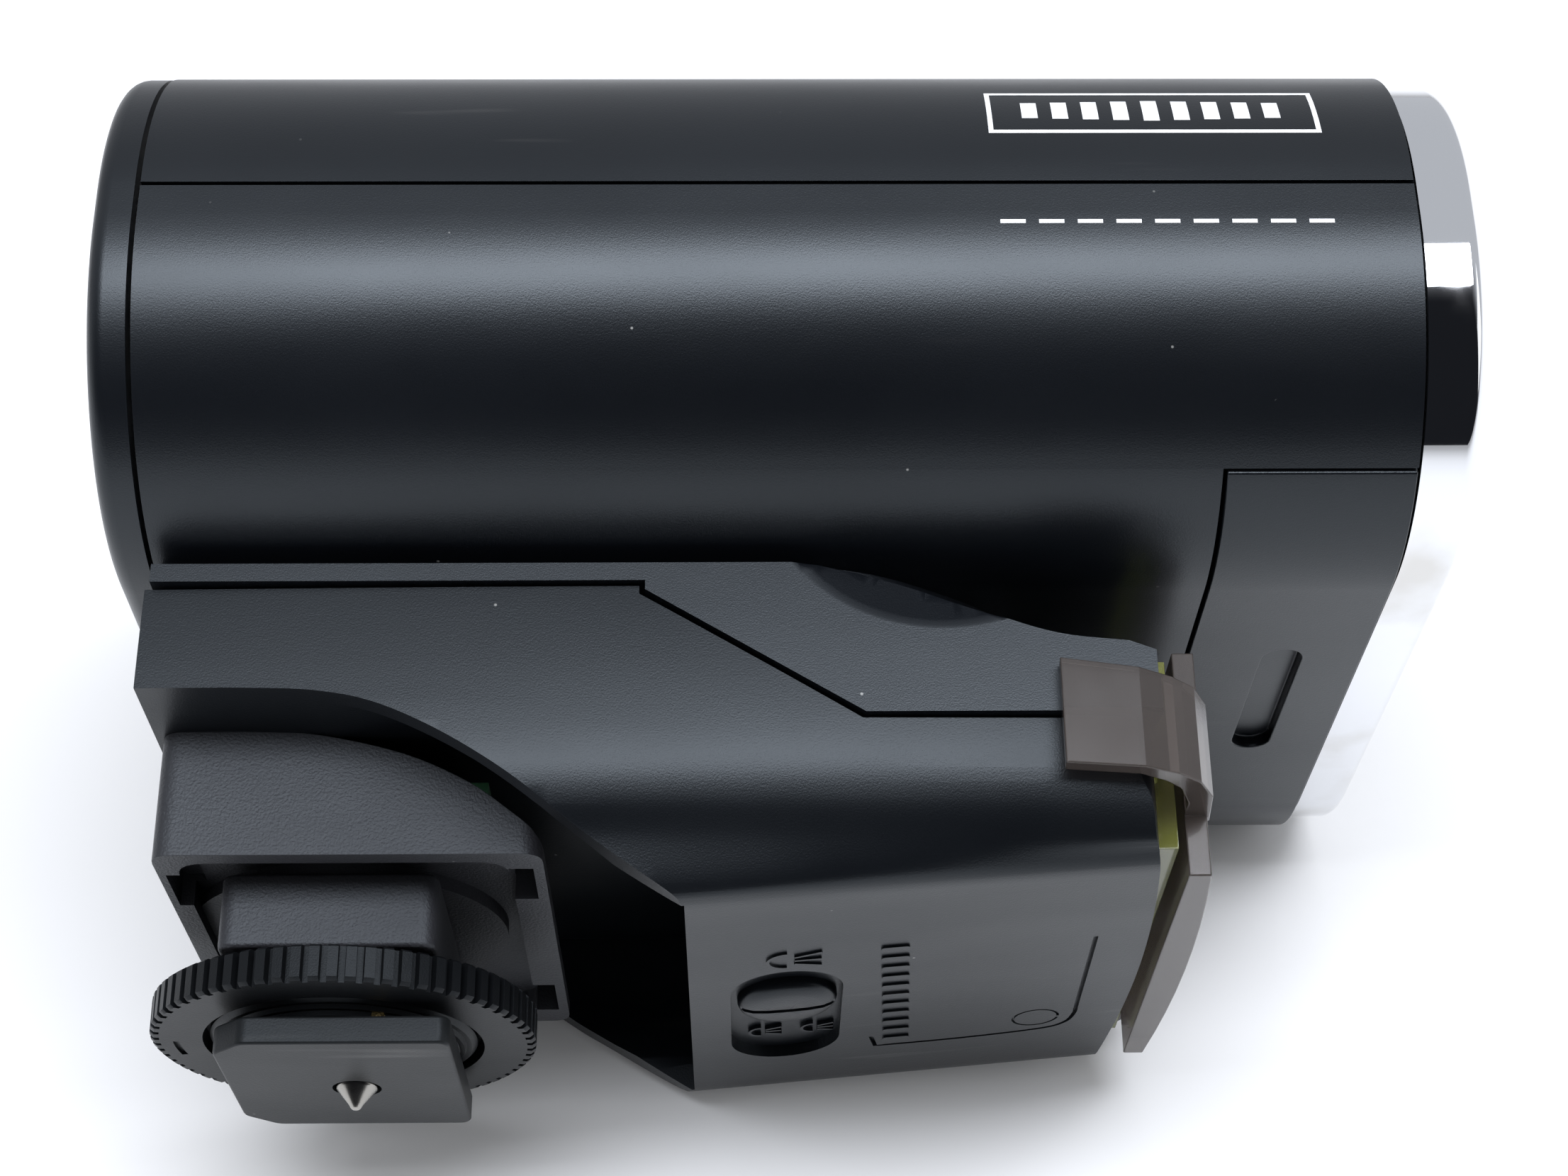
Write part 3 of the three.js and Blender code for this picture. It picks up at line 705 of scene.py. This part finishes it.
def battery_door():
    """The sliding door on the left side, with a row of thumb grooves."""
    sunk, inner = 0.05, 1.5
    skin = common(
        cut(
            prism("x", lower_outline(sunk, SEAM), DOOR.low.x, BODY_FRONT),
            prism("x", lower_outline(inner, SEAM + 1), DOOR.low.x - 1, BODY_FRONT + 1),
        ),
        block(DOOR.low.x, BODY_FRONT, DOOR_LOW, DOOR_HIGH, -FAR, DOOR_INSIDE),
    )
    grooves, first, pitch, width, margin, depth = 7, 6, 2.2, 1.0, 2.4, 0.75
    for i in range(grooves):
        x = DOOR.low.x + first + pitch * i
        cut(skin, block(x, x + width, DOOR_LOW + margin, DOOR_HIGH - margin, -FAR, -HALF + depth))
    soften(skin, 0.2, 2, 30)
    finish_piece(skin, "battery_hatch", "door", HOUSING_LOOK, ["battery_door"])


# ---------------------------------------------------------------- head front


def front_rim():
    """A polished frame: rolled outer edge, flat face and a bevel down to the lens."""
    rear, front = RIM.low.x, RIM.high.x
    outer, roll, face, opening, bevel = 0.7, 1.0, 3.7, 4.6, 1.2
    profile = [(outer, rear), (outer, front - roll)]
    for degrees in (15, 30, 45, 60, 75, 90):
        angle = math.radians(degrees)
        profile.append((outer + roll - roll * math.cos(angle), front - roll + roll * math.sin(angle)))
    profile += [(face, front), (face + 0.25, front - 0.08), (opening, front - bevel), (opening, rear)]
    bm = bmesh.new()
    rows = [[bm.verts.new(p) for p in ringed(full_outline(inset, 40), x)] for inset, x in profile]
    count = len(rows[0])
    for k in range(len(rows)):
        one, two = rows[k], rows[(k + 1) % len(rows)]
        for i in range(count):
            j = (i + 1) % count
            bm.faces.new((one[i], one[j], two[j], two[i]))
    rim = from_bmesh("rim", bm)
    notch_depth, notch_gap = 1.85, 0.35
    skin = cut(
        prism("x", full_outline(0), rear - 2, front + 2),
        prism("x", full_outline(notch_depth), rear - 3, front + 3),
    )
    cut(rim, common(skin, door_zone(notch_gap)))
    finish_piece(rim, "polished_rim", "head", CHROME, ["front_frame"], 40)


def fresnel_lens():
    """The main lens, ribbed across its rear face."""
    rear, front = LENS.low.x, LENS.high.x
    pane_rear, tip, margin, step = rear + 0.7, rear + 0.2, 3, 1.5
    pane = prism("x", full_outline(4.95), pane_rear, front)
    soften(pane, 0.2, 2)
    root = rear + 0.72
    ribs = []
    y = LENS.low.y + margin
    while y < LENS.high.y - margin:
        ribs += [(root, y), (tip, y + step * 0.5)]
        y += step
    saw = [(front - 0.6, LENS.low.y + margin), *ribs, (root, y), (front - 0.6, y)]
    teeth = common(prism("z", saw, -FAR, FAR), prism("x", full_outline(7), rear - 1, front - 0.4))
    join(pane, teeth)
    finish_piece(pane, "ribbed_lens", "head", CLEAR, ["front_lens"], 25)


# ---------------------------------------------------------------- lower body

FLOOR_REAR = Vector((25.3, 5.8))
FLOOR_FRONT = Vector((56.2, 8.4))
FLOOR_ANGLE = math.degrees(math.atan2(FLOOR_FRONT.y - FLOOR_REAR.y, FLOOR_FRONT.x - FLOOR_REAR.x))
BASE_REAR = BASE.low.x
BASE_FRONT = BASE.high.x
SIDE_TOP = 19.75


def floor_point(x, z, depth=0.0):
    """A point on the tilted floor, depth millimetres inside it."""
    y = FLOOR_REAR.y + (x - FLOOR_REAR.x) * math.tan(math.radians(FLOOR_ANGLE))
    return Vector((x, y + depth, z))


def floor_slab(outline, start, end):
    """A slab drawn in plan on the floor, between two depths; a negative depth is outside it."""
    return loft("slab", [[tuple(floor_point(x, z, depth)) for x, z in outline] for depth in (start, end)])


def floor_cutter(outline, depth):
    return floor_slab(outline, -0.6, depth)


def base_section(x):
    """The base's cross-section: slightly bulging sides that roll into the floor."""
    bulge, bulge_rear, bulge_length = 0.35, -12, 69
    along = min(1, max(0, (x - bulge_rear) / bulge_length))
    half = 24.0 + bulge * math.sin(math.pi * along)
    floor = floor_point(x, 0).y
    right = smooth_curve([
        (half - 0.15, 31), (half + 0.1, 26), (half + 0.15, 20), (half - 0.1, 15.0), (half - 0.75, 12.0),
        (half - 1.9, 9.7), (half - 3.1, floor + 0.75), (half - 4.2, floor + 0.1), (half - 6.0, floor),
    ], 6)
    return right + mirrored(right, 0)


def void_section():
    """The open hollow behind the floor, with even walls on both sides."""
    half, top = 22.5, 19.4
    right = [
        (half, top), (half, 15.0), (half - 0.7, 12.0), (half - 1.8, 9.8), (half - 2.6, 8.6), (half - 2.9, 0),
    ]
    return right + mirrored(right, 0)


def base_profile():
    """The base from the side: the swept edge over the adapter, and the bend of the seam above."""
    edge = [
        (BASE_REAR, SIDE_TOP), (-8, SIDE_TOP), (-4.2, 19.7), (-0.1, 19.5), (3.8, 18.7), (8.0, 16.8),
        (12.4, 14.1), (16.5, 11.1), (19.8, 8.8), (23.0, 6.7), (25.3, 5.3),
    ]
    bend, bend_top, cheek_low, ledge = 21.6, 26.6, 17.3, LEDGE - 0.2
    return [
        *smooth_curve(edge, 5),
        (25.4, 0),
        (FAR, 0),
        (FAR, cheek_low),
        (36.6, cheek_low),
        (bend, bend_top),
        (bend, ledge),
        (BASE_REAR, ledge),
    ]


def base_plan():
    """The base from below: square at the rear, bowed and round-cornered at the front."""
    side, crown, bow, half = 30, 57.35, 0.0026, 20.2
    shoulder = BASE_FRONT - 2.4
    front = [(crown - bow * z * z, z) for z in (half, 16, 12, 8, 4, 0, -4, -8, -12, -16, -half)]
    corner = [(shoulder, 23.8), (BASE_FRONT - 1.4, 23.2), (55.9, 22)]
    nose = smooth_curve(corner + front + mirrored(corner, 1), 4)
    return [(BASE_REAR, -side), (BASE_REAR, side), *nose, (shoulder, -side)]


def selector_outline():
    """The recess round the selector: a slot with round ends."""
    x, near, far_end, r = 31.7, 1.5, -9.2, 4.05
    return arc(x, near, r, 0, 180, 20) + arc(x, far_end, r, 180, 360, 20)


def stroke(points, width):
    """A band of even width along a line of points, as one outline."""
    left, right = [], []
    for i, point in enumerate(points):
        before, after = Vector(points[max(0, i - 1)]), Vector(points[min(len(points) - 1, i + 1)])
        along = (after - before).normalized()
        across = Vector((-along.y, along.x)) * width / 2
        left.append(tuple(Vector(point) + across))
        right.append(tuple(Vector(point) - across))
    return left + right[::-1]


def lamp_marks(x, z, size):
    """A lamp head and three rays, as outlines."""
    width, head, ray_start, ray_end = 0.22, 0.9, 1.3, 2.7
    marks = [stroke(arc(x + head * size, z, size, 90, 270, 14), width)]
    for slope in (-0.35, 0.0, 0.35):
        ray = [(x + reach * size, z + slope * size * reach) for reach in (ray_start, ray_end)]
        marks.append(stroke(ray, width))
    return marks


def label_bars():
    """A column of short bars, as outlines."""
    length, width, pitch, lean = 2.0, 0.85, 1.95, 0.09
    bars = []
    for i in range(11):
        x, z = 38.2 + lean * i, 8.2 - pitch * i
        bars.append(rounded(box_outline(x, x + length, z, z + width), 0.25, 2))
    return bars


def label_frame():
    """The line round the label, as one outline."""
    line = [
        (53.4, 7.4), (53.45, 2), (53.5, -6.5), (53.5, -9.0), (52.9, -10.9), (51.0, -11.9), (45, -12.5),
        (38.6, -12.6),
    ]
    return stroke(smooth_curve(line, 5) + [(38.2, -10.4)], 0.34)


def base_shell():
    """The lower shell: hollow over the adapter, with moulded marks on its floor."""
    stations = [BASE_REAR - 1 + 7.2 * i for i in range(11)]
    shell = loft("base", [[(x, y, z) for z, y in base_section(x)] for x in stations])
    common(shell, prism("z", base_profile(), -FAR, FAR))
    common(shell, prism("y", base_plan(), -FAR, FAR))
    soften(shell, 0.5, 4, 30)
    lip, side, front = FLOOR_REAR.x - 0.6, 24 - WALL, BASE_FRONT - WALL
    above_floor = block(0, FAR, FLOOR_REAR.y + 2.0, FAR, -FAR, FAR)
    adapter_well = prism("x", void_section(), -FAR, lip)
    sloped_well = common(prism("x", void_section(), lip - 1, 27.5), above_floor)
    reflector_room = block(29.3, front, 10.6, FAR, -20.4, 20.4)
    upper_room = block(BASE_REAR + WALL, 40, 21.2, FAR, -side, side)
    window_cut = window_opening(front - 1, WINDOW.low.y - GAP, FAR)
    cut(shell, adapter_well, sloped_well, reflector_room, upper_room, window_cut)
    cut(shell, floor_cutter(selector_outline(), 0.9))
    cut(shell, floor_cutter(label_frame(), 0.4))
    cut(shell, floor_cutter(stroke(arc(50.6, -9.2, 1.7, 0, 350, 32), 0.2), 0.2))
    soften(shell, 0.13, 2, 40)
    root, height = 0.4, 0.16
    for outline in lamp_marks(30.4, 8.0, 1.35) + label_bars():
        join(shell, floor_slab(outline, -height, root))
    recess_floor, recess_top = 1.0, 0.6
    for x in (29.1, 33.0):
        for outline in lamp_marks(x, -8.9, 0.85):
            join(shell, floor_slab(outline, recess_top, recess_floor))
    finish_piece(shell, "base_shell", "base", BASE_LOOK, ["lower_shell"])


def selector():
    """A slotted disc with a crowned face, on the floor's slope."""
    radius, depth, slot = 3.65, 1.6, 0.3
    face = [
        (0.01, -0.42), (1.5, -0.4), (2.6, -0.3), (3.2, -0.1), (3.5, 0.15), (radius, 0.5), (radius, depth),
        (0.01, depth),
    ]
    knob = lathe("knob", face)
    cut(knob, block(-slot, slot, -2, 0.1, -radius - 1, radius + 1))
    soften(knob, 0.1, 2, 35)
    turn(knob, "Y", 90)
    turn(knob, "Z", FLOOR_ANGLE)
    move(knob, floor_point(31.8, -1.6))
    finish_piece(knob, "selector_disc", "knob", BASE_LOOK, ["selector_knob"])


# ---------------------------------------------------------------- second window and its filter


def second_window():
    """A tinted pane that stands proud of the body, ribbed inside."""
    low, rear = WINDOW.low.y, WINDOW_FRONT - 1.9
    pane = block(rear, WINDOW_FRONT, low, WINDOW_TOP, -WINDOW_HALF, WINDOW_HALF)
    grooves, radius, margin = 17, 0.5, 1.4
    for i in range(1, grooves):
        z = WINDOW_HALF * (2 * i / grooves - 1)
        cut(pane, disc("y", radius, rear - 0.1, z, low + margin, WINDOW_TOP - margin, 12))
    soften(pane, 0.25, 2)
    finish_piece(pane, "second_lens", "base", GREEN_CLEAR, ["second_window"], 30)


def filter_piece():
    """A smoke plate, a little bowed outside, whose two clip arms wrap back along the cheeks."""
    half, rear, crown, bow = WINDOW_HALF + 0.15, WINDOW_FRONT + 0.5, 60.7, 0.0022
    face = [(crown - bow * z * z, z) for z in (-half, -13.5, -9, -4.5, 0, 4.5, 9, 13.5, half)]
    plate = prism("y", [(rear, half), (rear, -half)] + face, 8.2, 24.8)
    inner, outer = 24.9, FILTER.high.z
    outside = [(51, outer), (54.9, outer), (57.2, 25.3), (58.8, 24.1), (59.9, 21.8), (60.2, 17.8)]
    inside = [(58.4, 17.8), (58.4, 20.6), (57.6, 22.9), (56.5, 24.0), (54.7, inner), (51, inner)]
    arm = [*outside, *inside, (49.75, inner), (49.7, outer)]
    side_view = [(49, 13.25), (61.5, 12.4), (61.5, 19.2), (49, 20.95)]
    for side in (-1, 1):
        clip = prism("y", [(x, side * z) for x, z in arm], 10, 23)
        join(plate, common(clip, prism("z", side_view, -FAR, FAR)))
    soften(plate, 0.28, 3, 30)
    finish_piece(plate, "smoke_filter", "filter", SMOKE, ["attenuator_filter"], 12)


# ---------------------------------------------------------------- adapter and foot


def adapter_box():
    """The shoe adapter: a swept top edge, and a recessed underside with four snap holes."""
    low, high = ADAPTER.low, ADAPTER.high
    half = high.z
    edge = [
        (low.x, SIDE_TOP), (-4, SIDE_TOP), (0, 19.4), (5.5, 18.0), (9.9, 15.9), (12.6, 13.9), (14.2, 12.6),
    ]
    profile = [(low.x, low.y), *smooth_curve(edge, 5), (high.x, 11.6), (high.x, low.y)]
    box = prism("z", profile, -half, half)
    common(box, prism("y", rounded(box_outline(low.x, high.x, -half, half), 1.6, 5), 0, FAR))
    soften(box, 0.5, 3, 30)
    border, front_border, depth = 1.5, 2.4, 1.9
    recess = box_outline(low.x + border, high.x - front_border, border - half, half - border)
    cut(box, prism("y", rounded(recess, 2.2, 5), 0, low.y + depth))
    half_x, half_z, hole_depth = 0.85, 2.8, 2.4
    for x, z in ((-10.1, 10.8), (-10.1, -10.8), (13.4, 11.7), (13.4, -11.7)):
        cut(box, block(x - half_x, x + half_x, 0, low.y + hole_depth, z - half_z, z + half_z))
    soften(box, 0.14, 2, 40)
    boss, bore = 11.4, 7
    join(box, disc("y", boss, 0, 0, low.y + 0.9, low.y + 3, 72))
    cut(box, disc("y", bore, 0, 0, 0, FAR))
    finish_piece(box, "adapter_box", "base", ADAPTER_LOOK, ["adapter_housing"])


def pedestal():
    """The block between the adapter and the ring."""
    low, high = BLOCK.low, BLOCK.high
    bore = 6.5
    body = prism("y", rounded(box_outline(low.x, high.x, low.z, high.z), 1.2, 4), low.y, high.y)
    soften(body, 0.35, 3, 30)
    cut(body, disc("y", bore, 0, 0, 0, FAR))
    finish_piece(body, "pedestal", "base", ADAPTER_LOOK, ["foot_block"])


def foot_plate():
    """The foot: a plate with cut rear corners, on a round stem, stepped round the contact."""
    low, high = FOOT.low, FOOT.high
    corner, nip_x, nip_z = 2.2, 0.5, 0.6
    plan = [
        (low.x, low.z + corner), (low.x + corner, low.z),
        (high.x - nip_x, low.z), (high.x, low.z + nip_z),
        (high.x, high.z - nip_z), (high.x - nip_x, high.z),
        (low.x + corner, high.z), (low.x, high.z - corner),
    ]
    thickness, stem = 2.0, 6.2
    plate = prism("y", rounded(plan, 0.5, 3), 0, thickness)
    join(plate, disc("y", stem, 0, 0, thickness - 0.1, 15))
    soften(plate, 0.22, 3, 30)
    x, z = CONTACT.mid.x, CONTACT.mid.z
    cut(plate, disc("y", 1.75, x, z, -1, 1.4, 32), disc("y", 1.25, x, z, -1, FAR, 24))
    finish_piece(plate, "foot_plate", "base", FOOT_LOOK, ["shoe_foot"])


def contact_pin():
    """A plated cone on a stem, in the middle of the sole."""
    low, top, flange, stem = CONTACT.low.y, 12, 1.5, 0.95
    profile = [
        (0.01, low), (0.22, low + 0.03), (0.36, low + 0.14), (0.5, low + 0.38), (1.42, -0.12),
        (flange, 0.05), (flange, 0.35), (stem, 0.45), (stem, top), (0.01, top),
    ]
    pin = lathe("pin", profile, (CONTACT.mid.x, CONTACT.mid.z), 48)
    finish_piece(pin, "contact_cone", "contact_a", PLATED, ["centre_contact"])


def threaded_washer():
    """The clamping washer in the ring's recess, with a stepped, thread-like edge."""
    low, high = WASHER.low.y, WASHER.high.y
    profile = [
        (6.6, high), (6.6, low - 0.5), (7.0, low - 0.75), (8.1, low - 0.75), (8.25, low - 0.4),
        (8.6, low - 0.4), (8.75, low - 0.1), (9.1, low - 0.1), (9.5, low + 0.25), (9.5, high),
    ]
    washer = lathe("washer", profile, sides=96)
    finish_piece(washer, "clamp_disc", "ring", RING_LOOK, ["clamp_washer"])


def knurled_ring():
    """A disc with square flutes, its rims chamfered, and a recess with an arrow-like stroke."""
    low, high, radius, flutes = RING.low.y, RING.high.y, 13.7, 68
    root = radius - 0.65
    outline = []
    for i in range(flutes):
        for part, r in ((0.0, root), (0.04, radius), (0.6, radius), (0.64, root)):
            angle = 2 * math.pi * (i + part) / flutes
            outline.append((r * math.cos(angle), r * math.sin(angle)))
    ring = prism("y", outline, low, high)
    slope, rise = 0.3, 0.45
    crown = [
        (0.01, low), (radius - slope, low), (radius + slope, low + rise), (radius + slope, high - rise),
        (radius - slope, high), (0.01, high),
    ]
    common(ring, lathe("tool", crown, sides=96))
    bore, recess = 6.55, 10
    cut(ring, disc("y", bore, 0, 0, 0, FAR, 64), disc("y", recess, 0, 0, 0, low + 1.3, 72))
    cut(ring, prism("y", stroke(arc(0, 0, 11.9, 176, 190, 8), 0.45), 0, low + 0.25))
    soften(ring, 0.09, 2, 30)
    finish_piece(ring, "knurled_ring", "ring", RING_LOOK, ["locking_ring"])


# ---------------------------------------------------------------- rear controls and marks


def test_key():
    """The round button, slightly domed."""
    depth = KEY.high.x - KEY.low.x - 1
    profile = [(0.01, 0), (1.8, 0.12), (2.6, 0.35), (3.0, 0.9), (3.0, depth), (0.01, depth)]
    key = move(turn(lathe("button", profile), "Z", -90), (KEY.low.x, KEY.mid.y, KEY.mid.z))
    finish_piece(key, "test_key", "button", CONTROL_LOOK, ["test_button"])


def switch_slider(node, name, body):
    """A slider with four grip grooves across it."""
    low, high = Extent(node).low, Extent(node).high
    grooves, margin, half, depth = 4, 0.9, 0.3, 0.5
    slider = block(low.x, high.x, low.y, high.y, low.z, high.z)
    for i in range(grooves):
        z = low.z + margin + i * (high.z - low.z - 2 * margin) / (grooves - 1)
        cut(slider, block(low.x - 1, low.x + depth, low.y - 1, high.y + 1, z - half, z + half))
    soften(slider, 0.15, 2)
    finish_piece(slider, name, body, CONTROL_LOOK, [node])


def scale_plate():
    """The information plate on the rear cover."""
    low, high = PLATE.low, PLATE.high
    sheet = prism("x", rounded(box_outline(low.z, high.z, low.y, high.y), 1.4), low.x, high.x)
    soften(sheet, 0.05, 2)
    finish_piece(sheet, "scale_plate", "base", CONTROL_LOOK, ["info_plate"])


PRINT_LIFT = 0.03
PRINT_REAR, PRINT_FRONT = 45.6, 68.5
COVER_R = TOP - SEAM - GAP / 2


def on_cover(x, s):
    """A point on the cover's side, s millimetres up from the seam."""
    angle, r = s / COVER_R, COVER_R + PRINT_LIFT
    return (x, SEAM + GAP / 2 + r * math.sin(angle), HALF - COVER_R + r * math.cos(angle))


def on_side(x, s):
    """A point on the housing's side, s millimetres below the seam."""
    y = SEAM - GAP / 2 - s
    if y >= CORNER_Y:
        return (x, y, HALF + PRINT_LIFT)
    drop = CORNER_Y - y
    return (x, y, CORNER_Z + math.sqrt(CORNER_R ** 2 - drop * drop) + PRINT_LIFT)


def on_plate(y, s):
    """A point on the rear plate, s millimetres from its right edge."""
    return (PLATE.low.x - PRINT_LIFT, y, PLATE.high.z - s)


def print_strip(name, rects, place, body):
    """Thin white rectangles laid on a surface; each is a span along it and a span across it."""
    steps, thickness = 4, 0.02
    bm = bmesh.new()
    for xa, xb, sa, sb in rects:
        rows = []
        for i in range(steps + 1):
            s = sa + (sb - sa) * i / steps
            rows.append([bm.verts.new(place(xa, s)), bm.verts.new(place(xb, s))])
        for one, two in zip(rows, rows[1:]):
            bm.faces.new((one[0], one[1], two[1], two[0]))
    made = from_bmesh(name, bm)
    made.modifiers.new("thickness", "SOLIDIFY").thickness = thickness
    bake(made)
    finish_piece(made, name, body, PRINT)


def framed_mark():
    """A frame with a row of bars in it, taller towards the middle."""
    x0, x1, low, high, line = PRINT_REAR, PRINT_FRONT, 4.4, 9.9, 0.34
    rects = [
        (x0, x1, low, low + line), (x0, x1, high - line, high),
        (x0, x0 + line, low + line, high - line), (x1 - line, x1, low + line, high - line),
    ]
    bars, margin, pitch, width, reach = 9, 2.4, 2.1, 1.1, 1.7
    middle = (low + high) / 2
    for i in range(bars):
        x = x0 + margin + pitch * i
        short = 0.7 + 0.16 * abs(bars // 2 - i)
        rects.append((x, x + width, middle - reach + short * 0.5, middle + reach - short * 0.5))
    print_strip("framed_mark", rects, on_cover, "head")


def dashed_mark():
    """A thin dashed line below the seam."""
    margin, pitch, length, top, bottom = 0.4, 2.6, 1.7, 2.9, 3.2
    starts = [PRINT_REAR + margin + pitch * i for i in range(9)]
    print_strip("dashed_mark", [(x, x + length, top, bottom) for x in starts], on_side, "base")


def plate_scale():
    """A scale of ticks on both sides of a line, every third one longer."""
    middle = (PLATE.low.y + PLATE.high.y) / 2
    count, first, pitch, width, clear_of_line, long, short = 13, 2.2, 2.1, 0.2, 0.6, 2.4, 1.3
    ticks = []
    for i in range(count):
        length = long if i % 3 == 0 else short
        span = (first + pitch * i, first + width + pitch * i)
        ticks.append((middle - clear_of_line - length, middle - clear_of_line, *span))
        ticks.append((middle + clear_of_line, middle + clear_of_line + length, *span))
    half_line, overrun = 0.1, 0.6
    last = first + width + pitch * (count - 1)
    ticks.append((middle - half_line, middle + half_line, first - overrun, last + overrun))
    print_strip("plate_scale", ticks, on_plate, "base")


# ---------------------------------------------------------------- build

top_cover()
housing_shell()
rear_panel()
underside_panel()
battery_door()
front_rim()
fresnel_lens()
base_shell()
selector()
second_window()
filter_piece()
adapter_box()
pedestal()
foot_plate()
contact_pin()
threaded_washer()
knurled_ring()
test_key()
switch_slider("main_switch", "power_slider", "switch_a")
switch_slider("mode_switch", "mode_slider", "switch_b")
scale_plate()
framed_mark()
dashed_mark()
plate_scale()

# The pieces that keep their CAD shape
NODE_LOOKS = {
    "ready_lamp": LAMP,
    "inner_deck": INNER_LOOK,
    "reflector_housing": INNER_LOOK,
    "hinge_bracket": STEEL,
    "hinge_pin": STEEL,
    "circuit_board": BOARD,
    "adapter_board": BOARD,
    "transformer": SLEEVE,
    "main_capacitor": SLEEVE,
    "trigger_coil": COPPER,
    "battery_contact_front": STEEL,
    "battery_contact_rear": STEEL,
    "second_reflector": REFLECTOR,
    "main_reflector": REFLECTOR,
    "second_flash_tube": GLASS,
    "main_flash_tube": GLASS,
    "sensor_window": CLEAR,
    "foot_nut": STEEL,
    "ground_contact": BRASS,
}
for number in range(1, 5):
    NODE_LOOKS[f"battery_{number}"] = CELL
    NODE_LOOKS[f"deck_screw_{number}"] = STEEL
for node_name, node_look in NODE_LOOKS.items():
    node_object = frame["nodes"][node_name]
    node_object.data.materials.clear()
    node_object.data.materials.append(node_look)

# ---------------------------------------------------------------- floor, light and camera


def floor():
    """A plain white table."""
    bm = bmesh.new()
    bmesh.ops.create_grid(bm, x_segments=1, y_segments=1, size=3.0)
    plane = from_bmesh("floor", bm)
    look = Look("white table")
    look.colour(look.mix(look.ramp(look.noise(3, 2), 0.3, 0.7), (0.86, 0.86, 0.86), (0.9, 0.9, 0.9)))
    look.set(Roughness=0.6)
    plane.data.materials.append(look.material)


def area(name, place, target, size, size_y, watts, colour=(1, 1, 1)):
    """A rectangular soft light at a place, aimed at a target, in metres."""
    light = bpy.data.lights.new(name, "AREA")
    light.shape = "RECTANGLE"
    light.size = size
    light.size_y = size_y
    light.energy = watts
    light.color = colour
    obj = link(name, light)
    obj.location = place
    obj.rotation_euler = (Vector(target) - Vector(place)).to_track_quat("-Z", "Y").to_euler()


def studio():
    """Bright for the white table and the backdrop, dim for reflections, with one soft box overhead."""
    front_shade, back_wall = (0.012, 0.013, 0.016), (0.58, 0.6, 0.64)
    fill, backdrop = (0.62, 0.63, 0.65), (0.93, 0.93, 0.93)
    world = bpy.data.worlds.new("studio")
    world.use_nodes = True
    graph = Graph(world.node_tree)
    background = graph.tree.nodes["Background"]
    background.inputs["Strength"].default_value = 1.0
    path = graph.node("ShaderNodeLightPath")
    aim = graph.node("ShaderNodeSeparateXYZ")
    graph.wire(graph.node("ShaderNodeTexCoord").outputs["Generated"], aim.inputs["Vector"])
    backward = graph.ramp(aim.outputs["Y"], -0.45, 0.05, shape="SMOOTHSTEP")
    reflected = graph.mix(backward, front_shade, back_wall)
    lit = graph.mix(path.outputs["Is Diffuse Ray"], reflected, fill)
    graph.wire(graph.mix(path.outputs["Is Camera Ray"], lit, backdrop), background.inputs["Color"])
    bpy.context.scene.world = world
    area("overhead", (0.03, -0.17, 0.8), (0.0, 0.0, 0.03), 0.95, 0.26, 8.0, (0.95, 0.98, 1.05))
    area("end card", (0.8, -0.1, 0.3), (0.06, 0.0, 0.04), 0.4, 0.4, 0.5)
    bpy.context.scene.view_settings.view_transform = "Standard"


def camera():
    """The photograph's viewpoint: it looks at the flash's right side and underside."""
    eye = Vector((28.77, -61.03, 191.85))
    pitch, yaw, roll = 1.0866, -0.0302, 0.0233
    spin = Matrix.Rotation(yaw, 3, "Z")
    forward = spin @ Vector((0, math.cos(pitch), -math.sin(pitch)))
    level = spin @ Vector((1, 0, 0))
    above = level.cross(forward)
    right = level * math.cos(roll) + above * math.sin(roll)
    up = above * math.cos(roll) - level * math.sin(roll)
    data = bpy.data.cameras.new("camera")
    data.sensor_width = 36.0
    data.lens = 63.89
    data.clip_start = 0.01
    data.clip_end = 20
    obj = link("camera", data)
    flash_axes = Matrix((FORWARD, UP, RIGHT)).transposed()
    view_axes = Matrix((right, up, -forward)).transposed()
    obj.matrix_world = Matrix.Translation(FLASH @ eye) @ (flash_axes @ view_axes).to_4x4()
    bpy.context.scene.camera = obj


floor()
studio()
camera()
